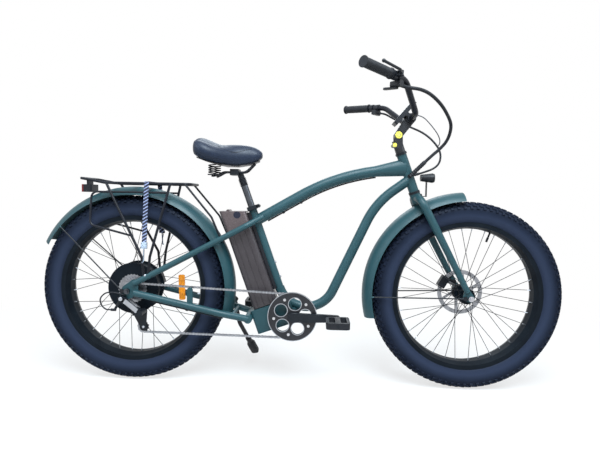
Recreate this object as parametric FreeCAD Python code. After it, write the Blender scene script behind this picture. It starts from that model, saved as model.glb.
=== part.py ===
import FreeCAD, Part
import math
import os

V = FreeCAD.Vector
X_AXIS = V(1, 0, 0)
Y_AXIS = V(0, 1, 0)
Z_AXIS = V(0, 0, 1)
RIGHT = -1
LEFT = 1
SIDES = (RIGHT, LEFT)
FULL_TURN = 360.0

# Layout of the whole bicycle: X forward, Y to its left, Z up, origin on the ground at mid wheelbase
WHEELBASE = 1306.0
TYRE_RADIUS = 366.0
HEAD_ANGLE = math.radians(69.6)
SEAT_ANGLE = math.radians(70.0)
FORK_OFFSET = 57.0
BRACKET_DROP = 86.0
BRACKET_SETBACK = 20.0
SEAT_AXIS_SETBACK = 19.0
CHAIN_LINE = 70.0

# Fits shared by all pieces
RUNNING_FIT = 0.05
CLEARANCE = 0.3
SEATING = 0.2
OVERRUN = 4.0

# Main frame tubes
HEAD_TUBE_GAP = 84.0
HEAD_TUBE_LENGTH = 150.0
HEAD_TUBE_RADIUS = 19.0
HEAD_TUBE_BORE = 16.5
CUP_HEIGHT = 9.0
CUP_RADIUS = 22.0
TOP_TUBE_RADIUS = 21.0
TOP_TUBE_SEAT_REACH = 392.0
TOP_TUBE_HEAD_RISE = 99.0
TOP_TUBE_HEAD_SLOPE = math.radians(8.5)
TOP_TUBE_KNEE_REACH = 277.7
TOP_TUBE_HEAD_RUN = 8.0
FLARE_LENGTH = 120.0
FLARE_HALF_HEIGHT = 34.0
DOWN_TUBE_RADIUS = 19.0
DOWN_TUBE_HEAD_RISE = 50.0
DOWN_TUBE_HEAD_SLOPE = math.radians(36.0)
DOWN_TUBE_SLOPE = math.radians(65.3)
DOWN_TUBE_UPPER_BEND = 320.0
DOWN_TUBE_LOWER_BEND = 112.0
DOWN_TUBE_LOW_REACH = 31.0
DOWN_TUBE_LOW_RUN = 153.0
DOWN_TUBE_END_REACH = 112.0
SEAT_TUBE_RADIUS = 16.2
SEAT_TUBE_TOP = 452.0
SEAT_BORE_DEPTH = 240.0

# Stays and rear ends
STAY_RADIUS = 11.0
STAY_ROOT_AHEAD = 32.0
STAY_ROOT_SIDE = 24.0
STAY_KNEE_BEHIND = 34.0
STAY_KNEE_SIDE = 65.0
STAY_KNEE_BEND = 45.0
STAY_END_SIDE = 94.0
SEAT_STAY_END_AHEAD = 26.0
SEAT_STAY_END_RISE = 30.0
CHAIN_STAY_RADIUS = 13.0
CHAIN_STAY_ROOT_SIDE = 62.0
CHAIN_STAY_KNEE_SIDE = 80.0
CHAIN_STAY_KNEE_SHARE = 0.21
CHAIN_STAY_KNEE_BEND = 300.0
CHAIN_STAY_END_AHEAD = 26.0
CHAIN_STAY_END_DROP = 6.0
BRIDGE_RADIUS = 8.0
DROPOUT_INNER_SIDE = 85.0
DROPOUT_THICKNESS = 7.0
DROPOUT_RADIUS = 24.0
DROPOUT_STAY_RADIUS = 15.0
LUG_RADIUS = 16.0
LUG_BEHIND = 172.0
LUG_DROP = 18.0
LUG_CHEEK = 10.0
TAB_SHARE = 0.378
TAB_RADIUS = 11.0
TAB_HEIGHT = 62.0
TAB_THICKNESS = 5.0

# Controller case, bottom bracket and crank set
CASE_HALF_WIDTH = 45.0
CASE_BEHIND = 136.0
CASE_AHEAD = 24.0
CASE_TOP = 63.0
CASE_BOTTOM = 32.0
CASE_CORNER = 10.0
SHELL_RADIUS = 22.0
SHELL_BORE = 17.0
SHELL_HALF_WIDTH = 52.0
SPINDLE_RADIUS = 8.5
CRANK_LENGTH = 170.0
CRANK_INNER_SIDE = 84.0
CRANK_THICKNESS = 14.0
CRANK_BOSS_RADIUS = 18.0
CRANK_EYE_RADIUS = 13.0
CRANK_BOSS_SIDE = 60.0
PEDAL_AXLE_RADIUS = 6.5
PEDAL_GAP = 8.0
PEDAL_WIDTH = 92.0
PEDAL_LENGTH = 86.0
PEDAL_HEIGHT = 24.0
PEDAL_CORE_RADIUS = 10.0
PEDAL_WALL = 11.0
PEDAL_CORNER = 16.0
PEDAL_HOLE_CORNER = 4.0
PITCH = 12.7
RING_TEETH = 42
COG_TEETH = (14, 16, 18, 20, 22, 24, 28)
COG_SPACING = 5.0
COG_THICKNESS = 2.0
TOOTH_HEIGHT = 4.0
TOOTH_DEPTH = 3.0
RING_THICKNESS = 2.6
GUARD_RADIUS = 95.0
GUARD_THICKNESS = 3.0
GUARD_OFFSET = 7.0
RING_HOLES = 5
RING_HOLE_TURN = 7.0
RING_HOLE_RADIUS = 24.0
RING_HOLE_REACH = 50.0
RING_BOLT_RADIUS = 5.0
RING_BOLT_REACH = 71.0
RING_BOLT_HEAD = 2.0
CHAIN_HEIGHT = 8.0
CHAIN_PLATE = 1.2
CHAIN_HALF_GAP = 2.0

# Wheels
TYRE_HALF_WIDTH = 51.0
TYRE_WIDEST_DEPTH = 42.0
TYRE_SHOULDER_DEPTH = 14.0
TYRE_SHOULDER_HALF = 41.0
TREAD_HALF_FLAT = 22.0
TYRE_WALL = 7.0
TYRE_DEPTH = 85.5
BEAD_HALF = 35.5
BEAD_HEIGHT = 9.5
RIM_HALF_WIDTH = 40.0
RIM_FLANGE = 4.3
RIM_FLANGE_HEIGHT = 8.5
BEAD_GAP = 1.0
RIM_EDGE_DEPTH = 8.8
RIM_BED_DEPTH = 17.5
RIM_BED_HALF = 16.0
RIM_WELL_HALF = 12.0
RIM_WELL_DEPTH = 8.5
SPOKE_RADIUS = 1.1
SPOKES_PER_SIDE = 18
SPOKE_OFFSET = 2.9
SPOKE_OUTER_OFFSET = 4.8
SPOKE_RIM_SIDE = 8.0
SPOKE_RIM_GAP = 0.7
FLANGE_HALF_THICKNESS = 1.4
FLANGE_MARGIN = 4.0

FRONT_HUB_RADIUS = 15.0
FRONT_FLANGE_HOLE_RADIUS = 27.0
FRONT_FLANGE_SIDE = 33.0
FRONT_HUB_HALF = 57.0
FRONT_CROSSES = 3
FRONT_DROPOUT_SIDE = 67.5
AXLE_RADIUS = 6.0
SPACER_RADIUS = 9.5
AXLE_NUT_RADIUS = 10.5
AXLE_NUT_HEIGHT = 10.0
AXLE_TAIL = 6.0
ROTOR_RADIUS = 90.0
ROTOR_TRACK = 16.0
ROTOR_CARRIER_RADIUS = 32.0
ROTOR_THICKNESS = 2.0
ROTOR_ARMS = 6
ROTOR_ARM_RADIUS = 5.0
ROTOR_ARM_SWEEP = 24.0
ROTOR_BORE = 8.0
FRONT_ROTOR_SIDE = 55.0

MOTOR_RADIUS = 101.0
MOTOR_HALF_WIDTH = 33.0
MOTOR_COVER_RADIUS = 84.0
MOTOR_COVER_RISE = 5.0
MOTOR_HOLE_RADIUS = 96.0
MOTOR_BOSS_RADIUS = 16.0
REAR_CROSSES = 1
REAR_ROTOR_SIDE = 57.0
COG_CORE_WALL = 3.0
COG_NECK = 3.2
REFLECTOR_DEPTH = 70.0
REFLECTOR_LENGTH = 100.0
REFLECTOR_WIDTH = 24.0
REFLECTOR_THICKNESS = 6.0
REFLECTOR_ANGLE = 2.0
REFLECTOR_SIDE = 26.3
REFLECTOR_CORNER = 5.0

# Fork and steering parts
STEERER_RADIUS = 14.3
CROWN_RADIUS = 21.0
CROWN_HEIGHT = 38.0
LEG_SIDE = 75.5
LEG_TOP_RADIUS = 15.0
LEG_END_RADIUS = 11.0
LEG_BEND = 40.0
LEG_CONE_START = 75.0
LEG_END_BACK = 13.0
LEG_END_RISE = 26.0
FORK_TIP_RADIUS = 15.0
FORK_TIP_THICKNESS = 7.5
STEM_BASE_RADIUS = 19.0
STEM_BASE_HEIGHT = 46.0
STEM_CAP = 4.0
STEM_PIVOT_AHEAD = 11.0
STEM_PIVOT_RISE = 66.0
STEM_PIVOT_RADIUS = 15.0
STEM_EAR = 6.0
STEM_HALF_WIDTH = 19.0
STEM_PLUG_HEIGHT = 2.0
STEM_ARM_LENGTH = 78.0
STEM_ARM_RISE = math.radians(55.0)
STEM_CLAMP_RADIUS = 19.0
STEM_CLAMP_HALF = 21.0
STEM_PINCH_RADIUS = 8.0
STEM_PINCH_HALF = 19.2
STEM_PINCH_RISE = 35.0
STEM_PINCH_BACK = 16.0
BAR_RADIUS = 11.1
BAR_CENTRE_SIDE = 100.0
BAR_KNEE_BACK = 66.0
BAR_KNEE_SIDE = 226.0
BAR_KNEE_RISE = 88.0
BAR_END_BACK = 222.0
BAR_END_SIDE = 370.0
BAR_END_RISE = 105.0
BAR_INNER_BEND = 62.0
BAR_OUTER_BEND = 90.0
GRIP_RADIUS = 16.0
GRIP_LENGTH = 132.0
GRIP_FLANGE = 3.0
GRIP_FLANGE_RADIUS = 18.5

# Bar controls, placed inward from the grip along the bar
PERCH_INSET = 16.0
PERCH_RADIUS = 16.0
PERCH_HALF_WIDTH = 8.0
PERCH_REACH = 30.0
PERCH_EAR = 3.0
LEVER_PIVOT_RADIUS = 2.5
LEVER_EYE_RADIUS = 8.0
LEVER_HALF_HEIGHT = 5.0
LEVER_BLADE_RADIUS = 4.5
LEVER_ELBOW_OUT = 26.0
LEVER_ELBOW_REACH = 47.0
LEVER_TIP_OUT = 118.0
LEVER_TIP_REACH = 53.0
LEVER_ELBOW_BEND = 24.0
LEVER_BALL_RADIUS = 6.0
POD_INSET = 43.0
POD_HALF_WIDTH = 11.0
POD_DEPTH = 40.0
POD_HEIGHT = 17.0
POD_RING_RADIUS = 15.0
POD_CORNER = 6.0
PADDLE_AXLE_RADIUS = 3.0
PADDLE_EYE_RADIUS = 6.5
PADDLE_THICKNESS = 5.0
PADDLE_REACH = 36.0
PADDLE_OUT = 12.0
PADDLE_SETBACK = 6.0
PADDLE_TIP_RADIUS = 8.0
DISPLAY_LENGTH = 112.0
DISPLAY_WIDTH = 62.0
DISPLAY_THICKNESS = 16.0
DISPLAY_CORNER = 7.0
DISPLAY_LEAN = math.radians(50.0)
DISPLAY_STANDOFF = 24.0
DISPLAY_RING_SIDE = 27.5
DISPLAY_RING_HALF = 4.0
DISPLAY_RING_RADIUS = 15.0
LAMP_RADIUS = 19.0
LAMP_BACK_RADIUS = 13.0
LAMP_LENGTH = 46.0
LAMP_LENS = 6.0
LAMP_LENS_RADIUS = 17.0
LAMP_REACH = 20.3
LAMP_RISE = 50.5
LAMP_BRACKET_WIDTH = 16.0
LAMP_BRACKET_THICKNESS = 3.0

# Fenders
FENDER_CROWN_GAP = 36.0
FENDER_EDGE_GAP = 2.0
FENDER_HALF_WIDTH = 57.0
FENDER_THICKNESS = 2.5
REAR_FENDER_START = -16.0
REAR_FENDER_END = 152.8
FRONT_FENDER_START = 93.5
FRONT_FENDER_END = 194.0
FENDER_WIRE_RADIUS = 2.5
FENDER_POST_RADIUS = 7.0
REAR_WIRE_ANGLE = 139.0
FRONT_WIRE_ANGLE = 181.0
WIRE_EYE_RADIUS = 8.0
WIRE_EYE_BACK = 20.0
WIRE_EYE_THICKNESS = 6.4

# Rear rack, tail light and strap
RACK_RADIUS = 5.0
RACK_GAP = 11.0
RACK_REAR_BEHIND = 188.0
RACK_FRONT_AHEAD = 234.0
RACK_HALF_WIDTH = 66.0
RACK_KNEE_BEHIND = 97.0
RACK_TAIL_RISE = 16.0
RACK_TAIL_BEND = 60.0
RACK_CORNER = 26.0
RACK_SLATS = 3
RACK_SLAT_RADIUS = 4.0
RACK_REAR_LEG_BEHIND = 92.0
RACK_FRONT_LEG_AHEAD = 157.0
RACK_LEG_SIDE = 91.0
RACK_FOOT_AHEAD = 71.0
RACK_FOOT_RISE = 134.0
RACK_FOOT_SPREAD = 16.0
RACK_FOOT_LENGTH = 75.0
RACK_LEG_BEND = 30.0
RACK_LOOP_BEHIND = 147.0
RACK_LOOP_RADIUS = 4.0
RACK_LOOP_BEND = 22.0
RACK_LOOP_HIGH_SHARE = 0.125
RACK_LOOP_LOW_SHARE = 0.72
RACK_LOOP_LIFT = 40.0
RACK_STRUT_RADIUS = 4.0
RACK_STRUT_AHEAD = 213.0
RACK_STRUT_SHARE = 0.23
RACK_STRUT_BACK = 36.0
RACK_STRUT_RISE_SHARE = 0.4
RACK_STRUT_BEND = 40.0
TAIL_LENGTH = 40.0
TAIL_HALF_WIDTH = 34.0
TAIL_HEIGHT = 30.0
TAIL_CORNER = 9.0
TAIL_DROP = 6.5
STRAP_AHEAD = 68.0
STRAP_HALF_WIDTH = 9.0
STRAP_THICKNESS = 2.4
STRAP_SIDE = 98.0
STRAP_HANG = 224.0
STRAP_FAR_HANG = 179.0
STRAP_HOOK_RADIUS = 2.5
STRAP_HOOK_LENGTH = 50.0
STRAP_HOOK_BEND = 5.0
STRAP_HOOK_TIP = 12.0
STRAP_END_HEIGHT = 24.0
STRAP_END_HALF_WIDTH = 12.0
STRAP_END_THICKNESS = 7.0

# Battery, rail and stand
BATTERY_FRONT = 24.0
BATTERY_DEPTH = 99.0
BATTERY_HALF_WIDTH = 42.0
BATTERY_FOOT = 66.0
BATTERY_REAR_TOP = 474.0
BATTERY_FRONT_TOP = 440.0
BATTERY_CORNER = 16.0
BATTERY_GROOVES = 3
BATTERY_GROOVE_WIDTH = 5.0
BATTERY_GROOVE_DEPTH = 2.0
BATTERY_CAP_LENGTH = 62.0
BATTERY_CAP_SEAM = 2.0
BATTERY_HANDLE_RADIUS = 7.0
BATTERY_HANDLE_HALF = 24.0
BATTERY_HANDLE_AT = 34.0
RAIL_HALF_WIDTH = 13.0
RAIL_FOOT = 112.0
RAIL_TOP = 432.0
RAIL_EDGE = 2.0
STAND_RADIUS = 9.0
STAND_FOOT_RADIUS = 12.0
STAND_KNEE_BEHIND = 256.0
STAND_KNEE_SIDE = 122.0
STAND_KNEE_HEIGHT = 196.0
STAND_FOOT_BEHIND = 201.0
STAND_FOOT_SIDE = 246.0
STAND_FOOT_HEIGHT = 30.0
STAND_BEND = 70.0
STAND_SLEEVE_SHARE = 0.52
STAND_EYE_RADIUS = 14.0
STAND_EYE_THICKNESS = 12.0
STAND_PIN_RADIUS = 4.0
STAND_PIN_HEAD = 3.0
STAND_PIVOT_REACH = 32.0
STAND_FOLD_SIDE = 60.0

# Seat post and saddle
POST_RADIUS = 13.6
POST_FOOT = 300.0
POST_TOP = 536.0
SLIDER_RADIUS = 10.0
SLIDER_FOOT = 470.0
BOOT_LENGTH = 32.0
BOOT_RIBS = 6
BOOT_ROOT_RADIUS = 12.6
BOOT_CREST_RADIUS = 15.6
BOOT_BORE = 10.3
RIB_PLACE_SHARES = (0.05, 0.35, 0.65, 0.95)
HEAD_HEIGHT = 24.0
HEAD_RADIUS = 12.5
COLLAR_RADIUS = 20.0
COLLAR_HEIGHT = 16.0
COLLAR_EAR_AHEAD = 27.0
COLLAR_EAR_RADIUS = 7.0
COLLAR_EAR_HALF = 9.0
COLLAR_SLOT_HALF = 1.5
SKEWER_RADIUS = 3.0
RELEASE_SIDE = 24.0
RELEASE_THICKNESS = 6.0
RELEASE_LENGTH = 44.0
RELEASE_EYE_RADIUS = 6.5
RELEASE_HALF_HEIGHT = 7.0
RELEASE_PIN_RADIUS = 2.5
RELEASE_EDGE = 2.0
CUP_WASHER_RADIUS = 6.5
SKEWER_NUT_HEIGHT = 8.0
SADDLE_LENGTH = 260.0
SADDLE_NOSE_BEHIND = 150.0
SADDLE_HALF_WIDTH = 108.0
SADDLE_DEPTH = 110.0
SADDLE_RISE = 574.0
SADDLE_STATION_SHARES = (0.0, 0.07, 0.22, 0.42, 0.62, 0.82, 0.95, 1.0)
SADDLE_WIDTH_SHARES = (0.62, 0.93, 1.0, 0.80, 0.47, 0.33, 0.25, 0.14)
SADDLE_TOP_SHARES = (0.78, 0.985, 0.89, 0.775, 0.75, 0.715, 0.60, 0.49)
SADDLE_LOW_SHARES = (0.40, 0.27, 0.14, 0.05, 0.03, 0.10, 0.22, 0.33)
SADDLE_FOOT_SHARE = 0.84
SADDLE_CREASE_SHARE = 0.72
SADDLE_SIDE_SHARE = 0.55
SADDLE_CROWN_SHARE = 0.80
PAN_THICKNESS = 5.0
PAN_DROP = 0.3
PAN_WIDTH_SHARE = 0.80
PAN_REAR_SHARE = 0.05
PAN_FRONT_SHARE = 0.97
RAIL_WIRE_RADIUS = 3.5
RAIL_DROP = 24.0
RAIL_SIDE = 22.0
RAIL_NOSE_SIDE = 12.0
RAIL_NOSE_RISE = 10.0
RAIL_NOSE_BEHIND = 180.0
RAIL_KNEE_BEHIND = 214.0
RAIL_REAR_BEHIND = 300.0
RAIL_DIP_BEHIND = 330.0
RAIL_DIP_SIDE = 24.0
RAIL_BEND = 30.0
CLAMP_BEHIND = 258.0
CLAMP_HALF_LENGTH = 17.0
CLAMP_HALF_HEIGHT = 12.0
CLAMP_HALF_WIDTH = 30.0
CLAMP_EDGE = 4.0
SPRING_BEHIND = 340.0
SPRING_SIDE = 46.0
SPRING_RADIUS = 13.0
SPRING_WIRE_RADIUS = 2.2
SPRING_TURNS = 4
SPRING_SAMPLES = 24
SPRING_SEAT_RADIUS = 17.0
SPRING_SEAT_THICKNESS = 4.0
SPRING_SEAT_DROP = 34.0

# Derailleur
HANGER_BEHIND = 20.0
HANGER_DROP = 28.0
HANGER_RADIUS = 12.0
KNUCKLE_RADIUS = 11.0
KNUCKLE_LENGTH = 16.0
KNUCKLE_PIVOT_REACH = 18.0
LINK_LENGTH = 60.0
LINK_DROP_ANGLE = math.radians(32.0)
LINK_LEAN = math.radians(13.0)
LINK_HALF_WIDTH = 9.0
LINK_THICKNESS = 9.0
LINK_PIN_RADIUS = 2.5
LINK_EYE_RADIUS = 6.0
LINK_EAR = 3.0
LINK_EDGE = 2.0
CAGE_KNUCKLE_RADIUS = 10.0
PULLEY_TEETH = 10
PULLEY_THICKNESS = 2.0
PULLEY_AXLE_RADIUS = 3.0
GUIDE_AHEAD = 24.0
GUIDE_DROP = 84.0
TENSION_AHEAD = 56.0
TENSION_DROP = 142.0
CAGE_PLATE_RADIUS = 11.0
CAGE_PLATE = 2.0
CAGE_HALF_GAP = 5.0

# Brake calipers
CALIPER_LENGTH = 46.0
CALIPER_HEIGHT = 30.0
CALIPER_HALF_WIDTH = 13.0
CALIPER_SLOT = 3.4
CALIPER_INSET = 10.0
CALIPER_CORNER = 7.0
FRONT_CALIPER_ANGLE = 150.0
REAR_CALIPER_ANGLE = 20.0
CALIPER_ARM_RADIUS = 8.0
CALIPER_ARM_THICKNESS = 6.0

# Cables
HOUSING_RADIUS = 2.6
SLEEVE_RADIUS = 6.0
LEAD_RADIUS = 4.0
DISPLAY_LEAD_RADIUS = 2.0
CLIP_LENGTH = 8.0
CLIP_RADIUS = 5.0
CLIP_REACH = 70.0
CLIP_SPACING = 80.0
CLIPS = 2
PORT_RADIUS = 8.0
PORT_STANDOFF = 3.0
PORT_RISE = 62.0
SHIFT_CABLE_SHARE = 0.8
CABLE_ARC_SHARE = 0.45
CABLE_LEAD = 26.0
ROUTE_UNIT = 100.0
SLEEVE_ROUTE_SHARES = ((0.00, -2.25, 0.58), (0.62, -1.85, 0.26), (1.09, -1.35, -0.15),
                       (1.29, -1.05, -0.45), (1.26, -0.75, -0.88), (1.04, -0.56, -1.19), (0.70, -0.45, -1.49))
LEFT_ROUTE_SHARES = ((-0.34, 2.15, 0.42), (0.14, 1.40, -0.02), (0.75, 0.62, -0.45), (1.22, 0.44, -0.97),
                     (1.36, 0.41, -1.36), (1.25, 0.39, -1.76), (0.77, 0.38, -2.01))
DISPLAY_ROUTE_SHARES = ((0.094, -0.30, 0.095), (0.378, -0.30, 0.102), (0.768, -0.30, -0.298),
                        (1.078, -0.20, -0.658),
                        (1.22, 0.10, -0.91), (1.22, 0.405, -0.97))
SHIFT_LOOP_SHARES = ((-0.09, -0.947, -0.16), (-0.47, -0.99, -0.04), (-0.82, -1.00, -0.06),
                     (-1.04, -1.00, -0.30),
                     (-0.98, -1.00, -0.56), (-0.80, -1.00, -0.72))
BARREL_BEHIND = 26.0
BARREL_DROP = 44.0
BARREL_RADIUS = 5.0
BARREL_LENGTH = 14.0

# Derived directions and places
HEAD_UP = V(-math.cos(HEAD_ANGLE), 0, math.sin(HEAD_ANGLE))
HEAD_FORWARD = V(math.sin(HEAD_ANGLE), 0, math.cos(HEAD_ANGLE))
SEAT_UP = V(-math.cos(SEAT_ANGLE), 0, math.sin(SEAT_ANGLE))
SEAT_FORWARD = V(math.sin(SEAT_ANGLE), 0, math.cos(SEAT_ANGLE))
REAR_AXLE = V(-WHEELBASE / 2, 0, TYRE_RADIUS)
FRONT_AXLE = V(WHEELBASE / 2, 0, TYRE_RADIUS)
BRACKET = V(-BRACKET_SETBACK, 0, TYRE_RADIUS - BRACKET_DROP)
STEER_FOOT = FRONT_AXLE - HEAD_FORWARD * FORK_OFFSET
TYRE_WIDEST_RADIUS = TYRE_RADIUS - TYRE_WIDEST_DEPTH
TYRE_SHOULDER_RADIUS = TYRE_RADIUS - TYRE_SHOULDER_DEPTH
BEAD_RADIUS = TYRE_RADIUS - TYRE_DEPTH
BEAD_TOP = BEAD_RADIUS + BEAD_HEIGHT
RIM_SEAT_RADIUS = BEAD_RADIUS - BEAD_GAP
RIM_FLANGE_RADIUS = RIM_SEAT_RADIUS + RIM_FLANGE_HEIGHT
RIM_EDGE_RADIUS = RIM_SEAT_RADIUS - RIM_EDGE_DEPTH
RIM_BED_RADIUS = RIM_SEAT_RADIUS - RIM_BED_DEPTH
RIM_WELL_RADIUS = RIM_SEAT_RADIUS - RIM_WELL_DEPTH
HEAD_TUBE_BOTTOM = TYRE_RADIUS + HEAD_TUBE_GAP
TOP_TUBE_HEAD_REACH = HEAD_TUBE_BOTTOM + TOP_TUBE_HEAD_RISE
DOWN_TUBE_HEAD_REACH = HEAD_TUBE_BOTTOM + DOWN_TUBE_HEAD_RISE
PORT_HEIGHT = HEAD_TUBE_BOTTOM + PORT_RISE
SADDLE_FLOOR = BRACKET.z + SADDLE_RISE
RAIL_HEIGHT = SADDLE_FLOOR - RAIL_DROP
RAIL_NOSE_HEIGHT = SADDLE_FLOOR + RAIL_NOSE_RISE
SPRING_SEAT_HEIGHT = SADDLE_FLOOR - SPRING_SEAT_DROP
FENDER_CROWN_RADIUS = TYRE_RADIUS + FENDER_CROWN_GAP
FENDER_EDGE_RADIUS = TYRE_RADIUS + FENDER_EDGE_GAP
RACK_HEIGHT = REAR_AXLE.z + FENDER_CROWN_RADIUS + RACK_GAP
SEAT_FOOT = BRACKET - SEAT_FORWARD * SEAT_AXIS_SETBACK


def steer(along, ahead=0, side=0):
    """Place on the steering axis, measured up it from the foot beside the front axle."""
    return STEER_FOOT + HEAD_UP * along + HEAD_FORWARD * ahead + Y_AXIS * side


def seat(along, ahead=0, side=0):
    """Place on the seat tube axis, measured up it from the foot behind the bottom bracket."""
    return SEAT_FOOT + SEAT_UP * along + SEAT_FORWARD * ahead + Y_AXIS * side


def slope(angle):
    """Unit direction in the centre plane, rising forward."""
    return V(math.cos(angle), 0, math.sin(angle))


def polar(centre, radius, degrees, side=0):
    """Place round an axle in the centre plane, counted from straight ahead upwards."""
    angle = math.radians(degrees)
    return centre + V(radius * math.cos(angle), side, radius * math.sin(angle))


def meet(first, first_direction, second, second_direction):
    """Crossing of two lines of the centre plane."""
    gap = second - first
    cross = first_direction.x * second_direction.z - first_direction.z * second_direction.x
    reach = (gap.x * second_direction.z - gap.z * second_direction.x) / cross
    return first + first_direction * reach


def unit(vector):
    """Copy of a vector at length one."""
    return V(vector).normalize()


def rounded_wire(points, radii):
    """Straight runs joined by tangent arcs."""
    edges = []
    start = points[0]
    for before, corner, after, radius in zip(points, points[1:], points[2:], radii):
        back = unit(before - corner)
        on = unit(after - corner)
        half_turn = (math.pi - back.getAngle(on)) / 2
        reach = radius * math.tan(half_turn)
        middle = corner + unit(back + on) * (radius / math.cos(half_turn) - radius)
        edges.append(Part.LineSegment(start, corner + back * reach).toShape())
        edges.append(Part.Arc(corner + back * reach, middle, corner + on * reach).toShape())
        start = corner + on * reach
    edges.append(Part.LineSegment(start, points[-1]).toShape())
    return Part.Wire(edges)


def pipe(wire, radius):
    """Round tube along a wire."""
    first = wire.Edges[0]
    circle = Part.makeCircle(radius, first.valueAt(first.FirstParameter),
                             first.tangentAt(first.FirstParameter))
    return wire.makePipeShell([Part.Wire(circle)], True, False)


def tube(points, radii, radius):
    """Round tube along straight runs and arcs."""
    return pipe(rounded_wire(points, radii), radius)


def rod(start, end, radius):
    """Straight round bar."""
    return Part.makeCylinder(radius, start.distanceToPoint(end), start, end - start)


def cone(start, end, start_radius, end_radius):
    """Straight tapered bar."""
    return Part.makeCone(start_radius, end_radius, start.distanceToPoint(end), start, end - start)


def cross_rod(centre, inner, outer, radius):
    """Round bar across the bicycle between two sides."""
    return rod(centre + Y_AXIS * inner, centre + Y_AXIS * outer, radius)


def ring(centre, inner_side, outer_side, radius, bore):
    """Round ring across the bicycle."""
    low, high = sorted((inner_side, outer_side))
    body = cross_rod(centre, low, high, radius)
    return body.cut(cross_rod(centre, low - OVERRUN, high + OVERRUN, bore))


def lathe(profile, centre):
    """Body turned about an axle that lies across the bicycle, from (side, radius) pairs."""
    points = [centre + V(radius, side, 0) for side, radius in profile]
    face = Part.Face(Part.makePolygon(points + points[:1]))
    return face.revolve(centre, Y_AXIS, FULL_TURN)


def fused(shapes):
    """One welded body."""
    first, *rest = shapes
    return first.multiFuse(rest).removeSplitter() if rest else first


def group(shapes):
    """Separate bodies that share a name."""
    return Part.makeCompound([solid for shape in shapes for solid in shape.Solids])


def mirrored(shape):
    """The same piece on the other side of the centre plane."""
    return shape.mirror(V(0, 0, 0), Y_AXIS)


def belt_wire(circles):
    """Closed loop tangent to circles of the centre plane, each (centre, radius, sense)."""
    lines = []
    for (here, radius, sense), (there, next_radius, next_sense) in zip(circles, circles[1:] + circles[:1]):
        gap = there - here
        tilt = math.asin((next_sense * next_radius - sense * radius) / gap.Length)
        angle = math.atan2(gap.z, gap.x) - tilt
        normal = V(-math.sin(angle), 0, math.cos(angle))
        lines.append((here - normal * (sense * radius), there - normal * (next_sense * next_radius)))
    edges = []
    for index, (centre, radius, sense) in enumerate(circles):
        arrive = lines[index - 1][1] - centre
        leave = lines[index][0] - centre
        start = math.atan2(arrive.z, arrive.x)
        turn = sense * ((sense * (math.atan2(leave.z, leave.x) - start)) % (2 * math.pi))
        middle = centre + slope(start + turn / 2) * radius
        edges.append(Part.Arc(centre + arrive, middle, centre + leave).toShape())
        edges.append(Part.LineSegment(*lines[index]).toShape())
    return Part.Wire(edges)


def plate(circles, inner_side, outer_side):
    """Flat plate whose outline is drawn tight round circles of the centre plane."""
    face = Part.Face(belt_wire([(centre, radius, 1) for centre, radius in circles]))
    face.translate(Y_AXIS * inner_side)
    return face.extrude(Y_AXIS * (outer_side - inner_side))


def block(centre, forward, up, length, width, height, corner):
    """Box turned to its own forward and up directions, with its edges along up rounded."""
    box = Part.makeBox(length, width, height, V(-length / 2, -width / 2, -height / 2))
    upright = [edge for edge in box.Edges if edge.BoundBox.ZLength > height / 2]
    box = box.makeFillet(corner, upright)
    box.Placement = FreeCAD.Placement(centre, FreeCAD.Rotation(forward, up.cross(forward), up))
    return box


def pitch_radius(teeth):
    """Radius on which a chain runs round a wheel of so many teeth."""
    return PITCH / (2 * math.sin(math.pi / teeth))


def toothed(centre, teeth, side, thickness):
    """Toothed disc across the bicycle."""
    radius = pitch_radius(teeth)
    step = FULL_TURN / teeth
    points = []
    for tooth in range(teeth):
        points.append(polar(centre, radius - TOOTH_DEPTH, step * tooth, side - thickness / 2))
        points.append(polar(centre, radius + TOOTH_HEIGHT - TOOTH_DEPTH, step * (tooth + 0.5),
                            side - thickness / 2))
    return Part.Face(Part.makePolygon(points + points[:1])).extrude(Y_AXIS * thickness)


def line_at_radius(start, end, centre, radius):
    """Point of a line of the centre plane that lies a radius from a centre, nearest the line's start."""
    run = V(end.x - start.x, 0, end.z - start.z)
    away = V(start.x - centre.x, 0, start.z - centre.z)
    half = run.dot(away) / run.dot(run)
    share = -half - math.sqrt(half * half - (away.dot(away) - radius * radius) / run.dot(run))
    return V(start.x, 0, start.z) + run * share


# Frame tubes
def head_tube_body(radius):
    return rod(steer(HEAD_TUBE_BOTTOM), steer(HEAD_TUBE_BOTTOM + HEAD_TUBE_LENGTH), radius)


def head_tube():
    bore = rod(steer(HEAD_TUBE_BOTTOM - OVERRUN), steer(HEAD_TUBE_BOTTOM + HEAD_TUBE_LENGTH + OVERRUN),
               HEAD_TUBE_BORE)
    return head_tube_body(HEAD_TUBE_RADIUS).cut(bore)


def seat_tube_body():
    return rod(seat(DOWN_TUBE_END_REACH), seat(SEAT_TUBE_TOP), SEAT_TUBE_RADIUS)


def seat_tube():
    bore = rod(seat(SEAT_TUBE_TOP - SEAT_BORE_DEPTH), seat(SEAT_TUBE_TOP + OVERRUN),
               POST_RADIUS + RUNNING_FIT)
    return seat_tube_body().cut(bore)


TOP_TUBE_START = seat(TOP_TUBE_SEAT_REACH)
TOP_TUBE_END = steer(TOP_TUBE_HEAD_REACH)
TOP_TUBE_CORNER = TOP_TUBE_END - slope(TOP_TUBE_HEAD_SLOPE) * TOP_TUBE_KNEE_REACH
TOP_TUBE_RUN = TOP_TUBE_CORNER - TOP_TUBE_START
TOP_TUBE_REAR_SLOPE = math.atan2(TOP_TUBE_RUN.z, TOP_TUBE_RUN.x)
TOP_TUBE_BEND = ((TOP_TUBE_KNEE_REACH - FLARE_LENGTH - TOP_TUBE_HEAD_RUN)
                 / math.tan((TOP_TUBE_REAR_SLOPE - TOP_TUBE_HEAD_SLOPE) / 2))


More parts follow.
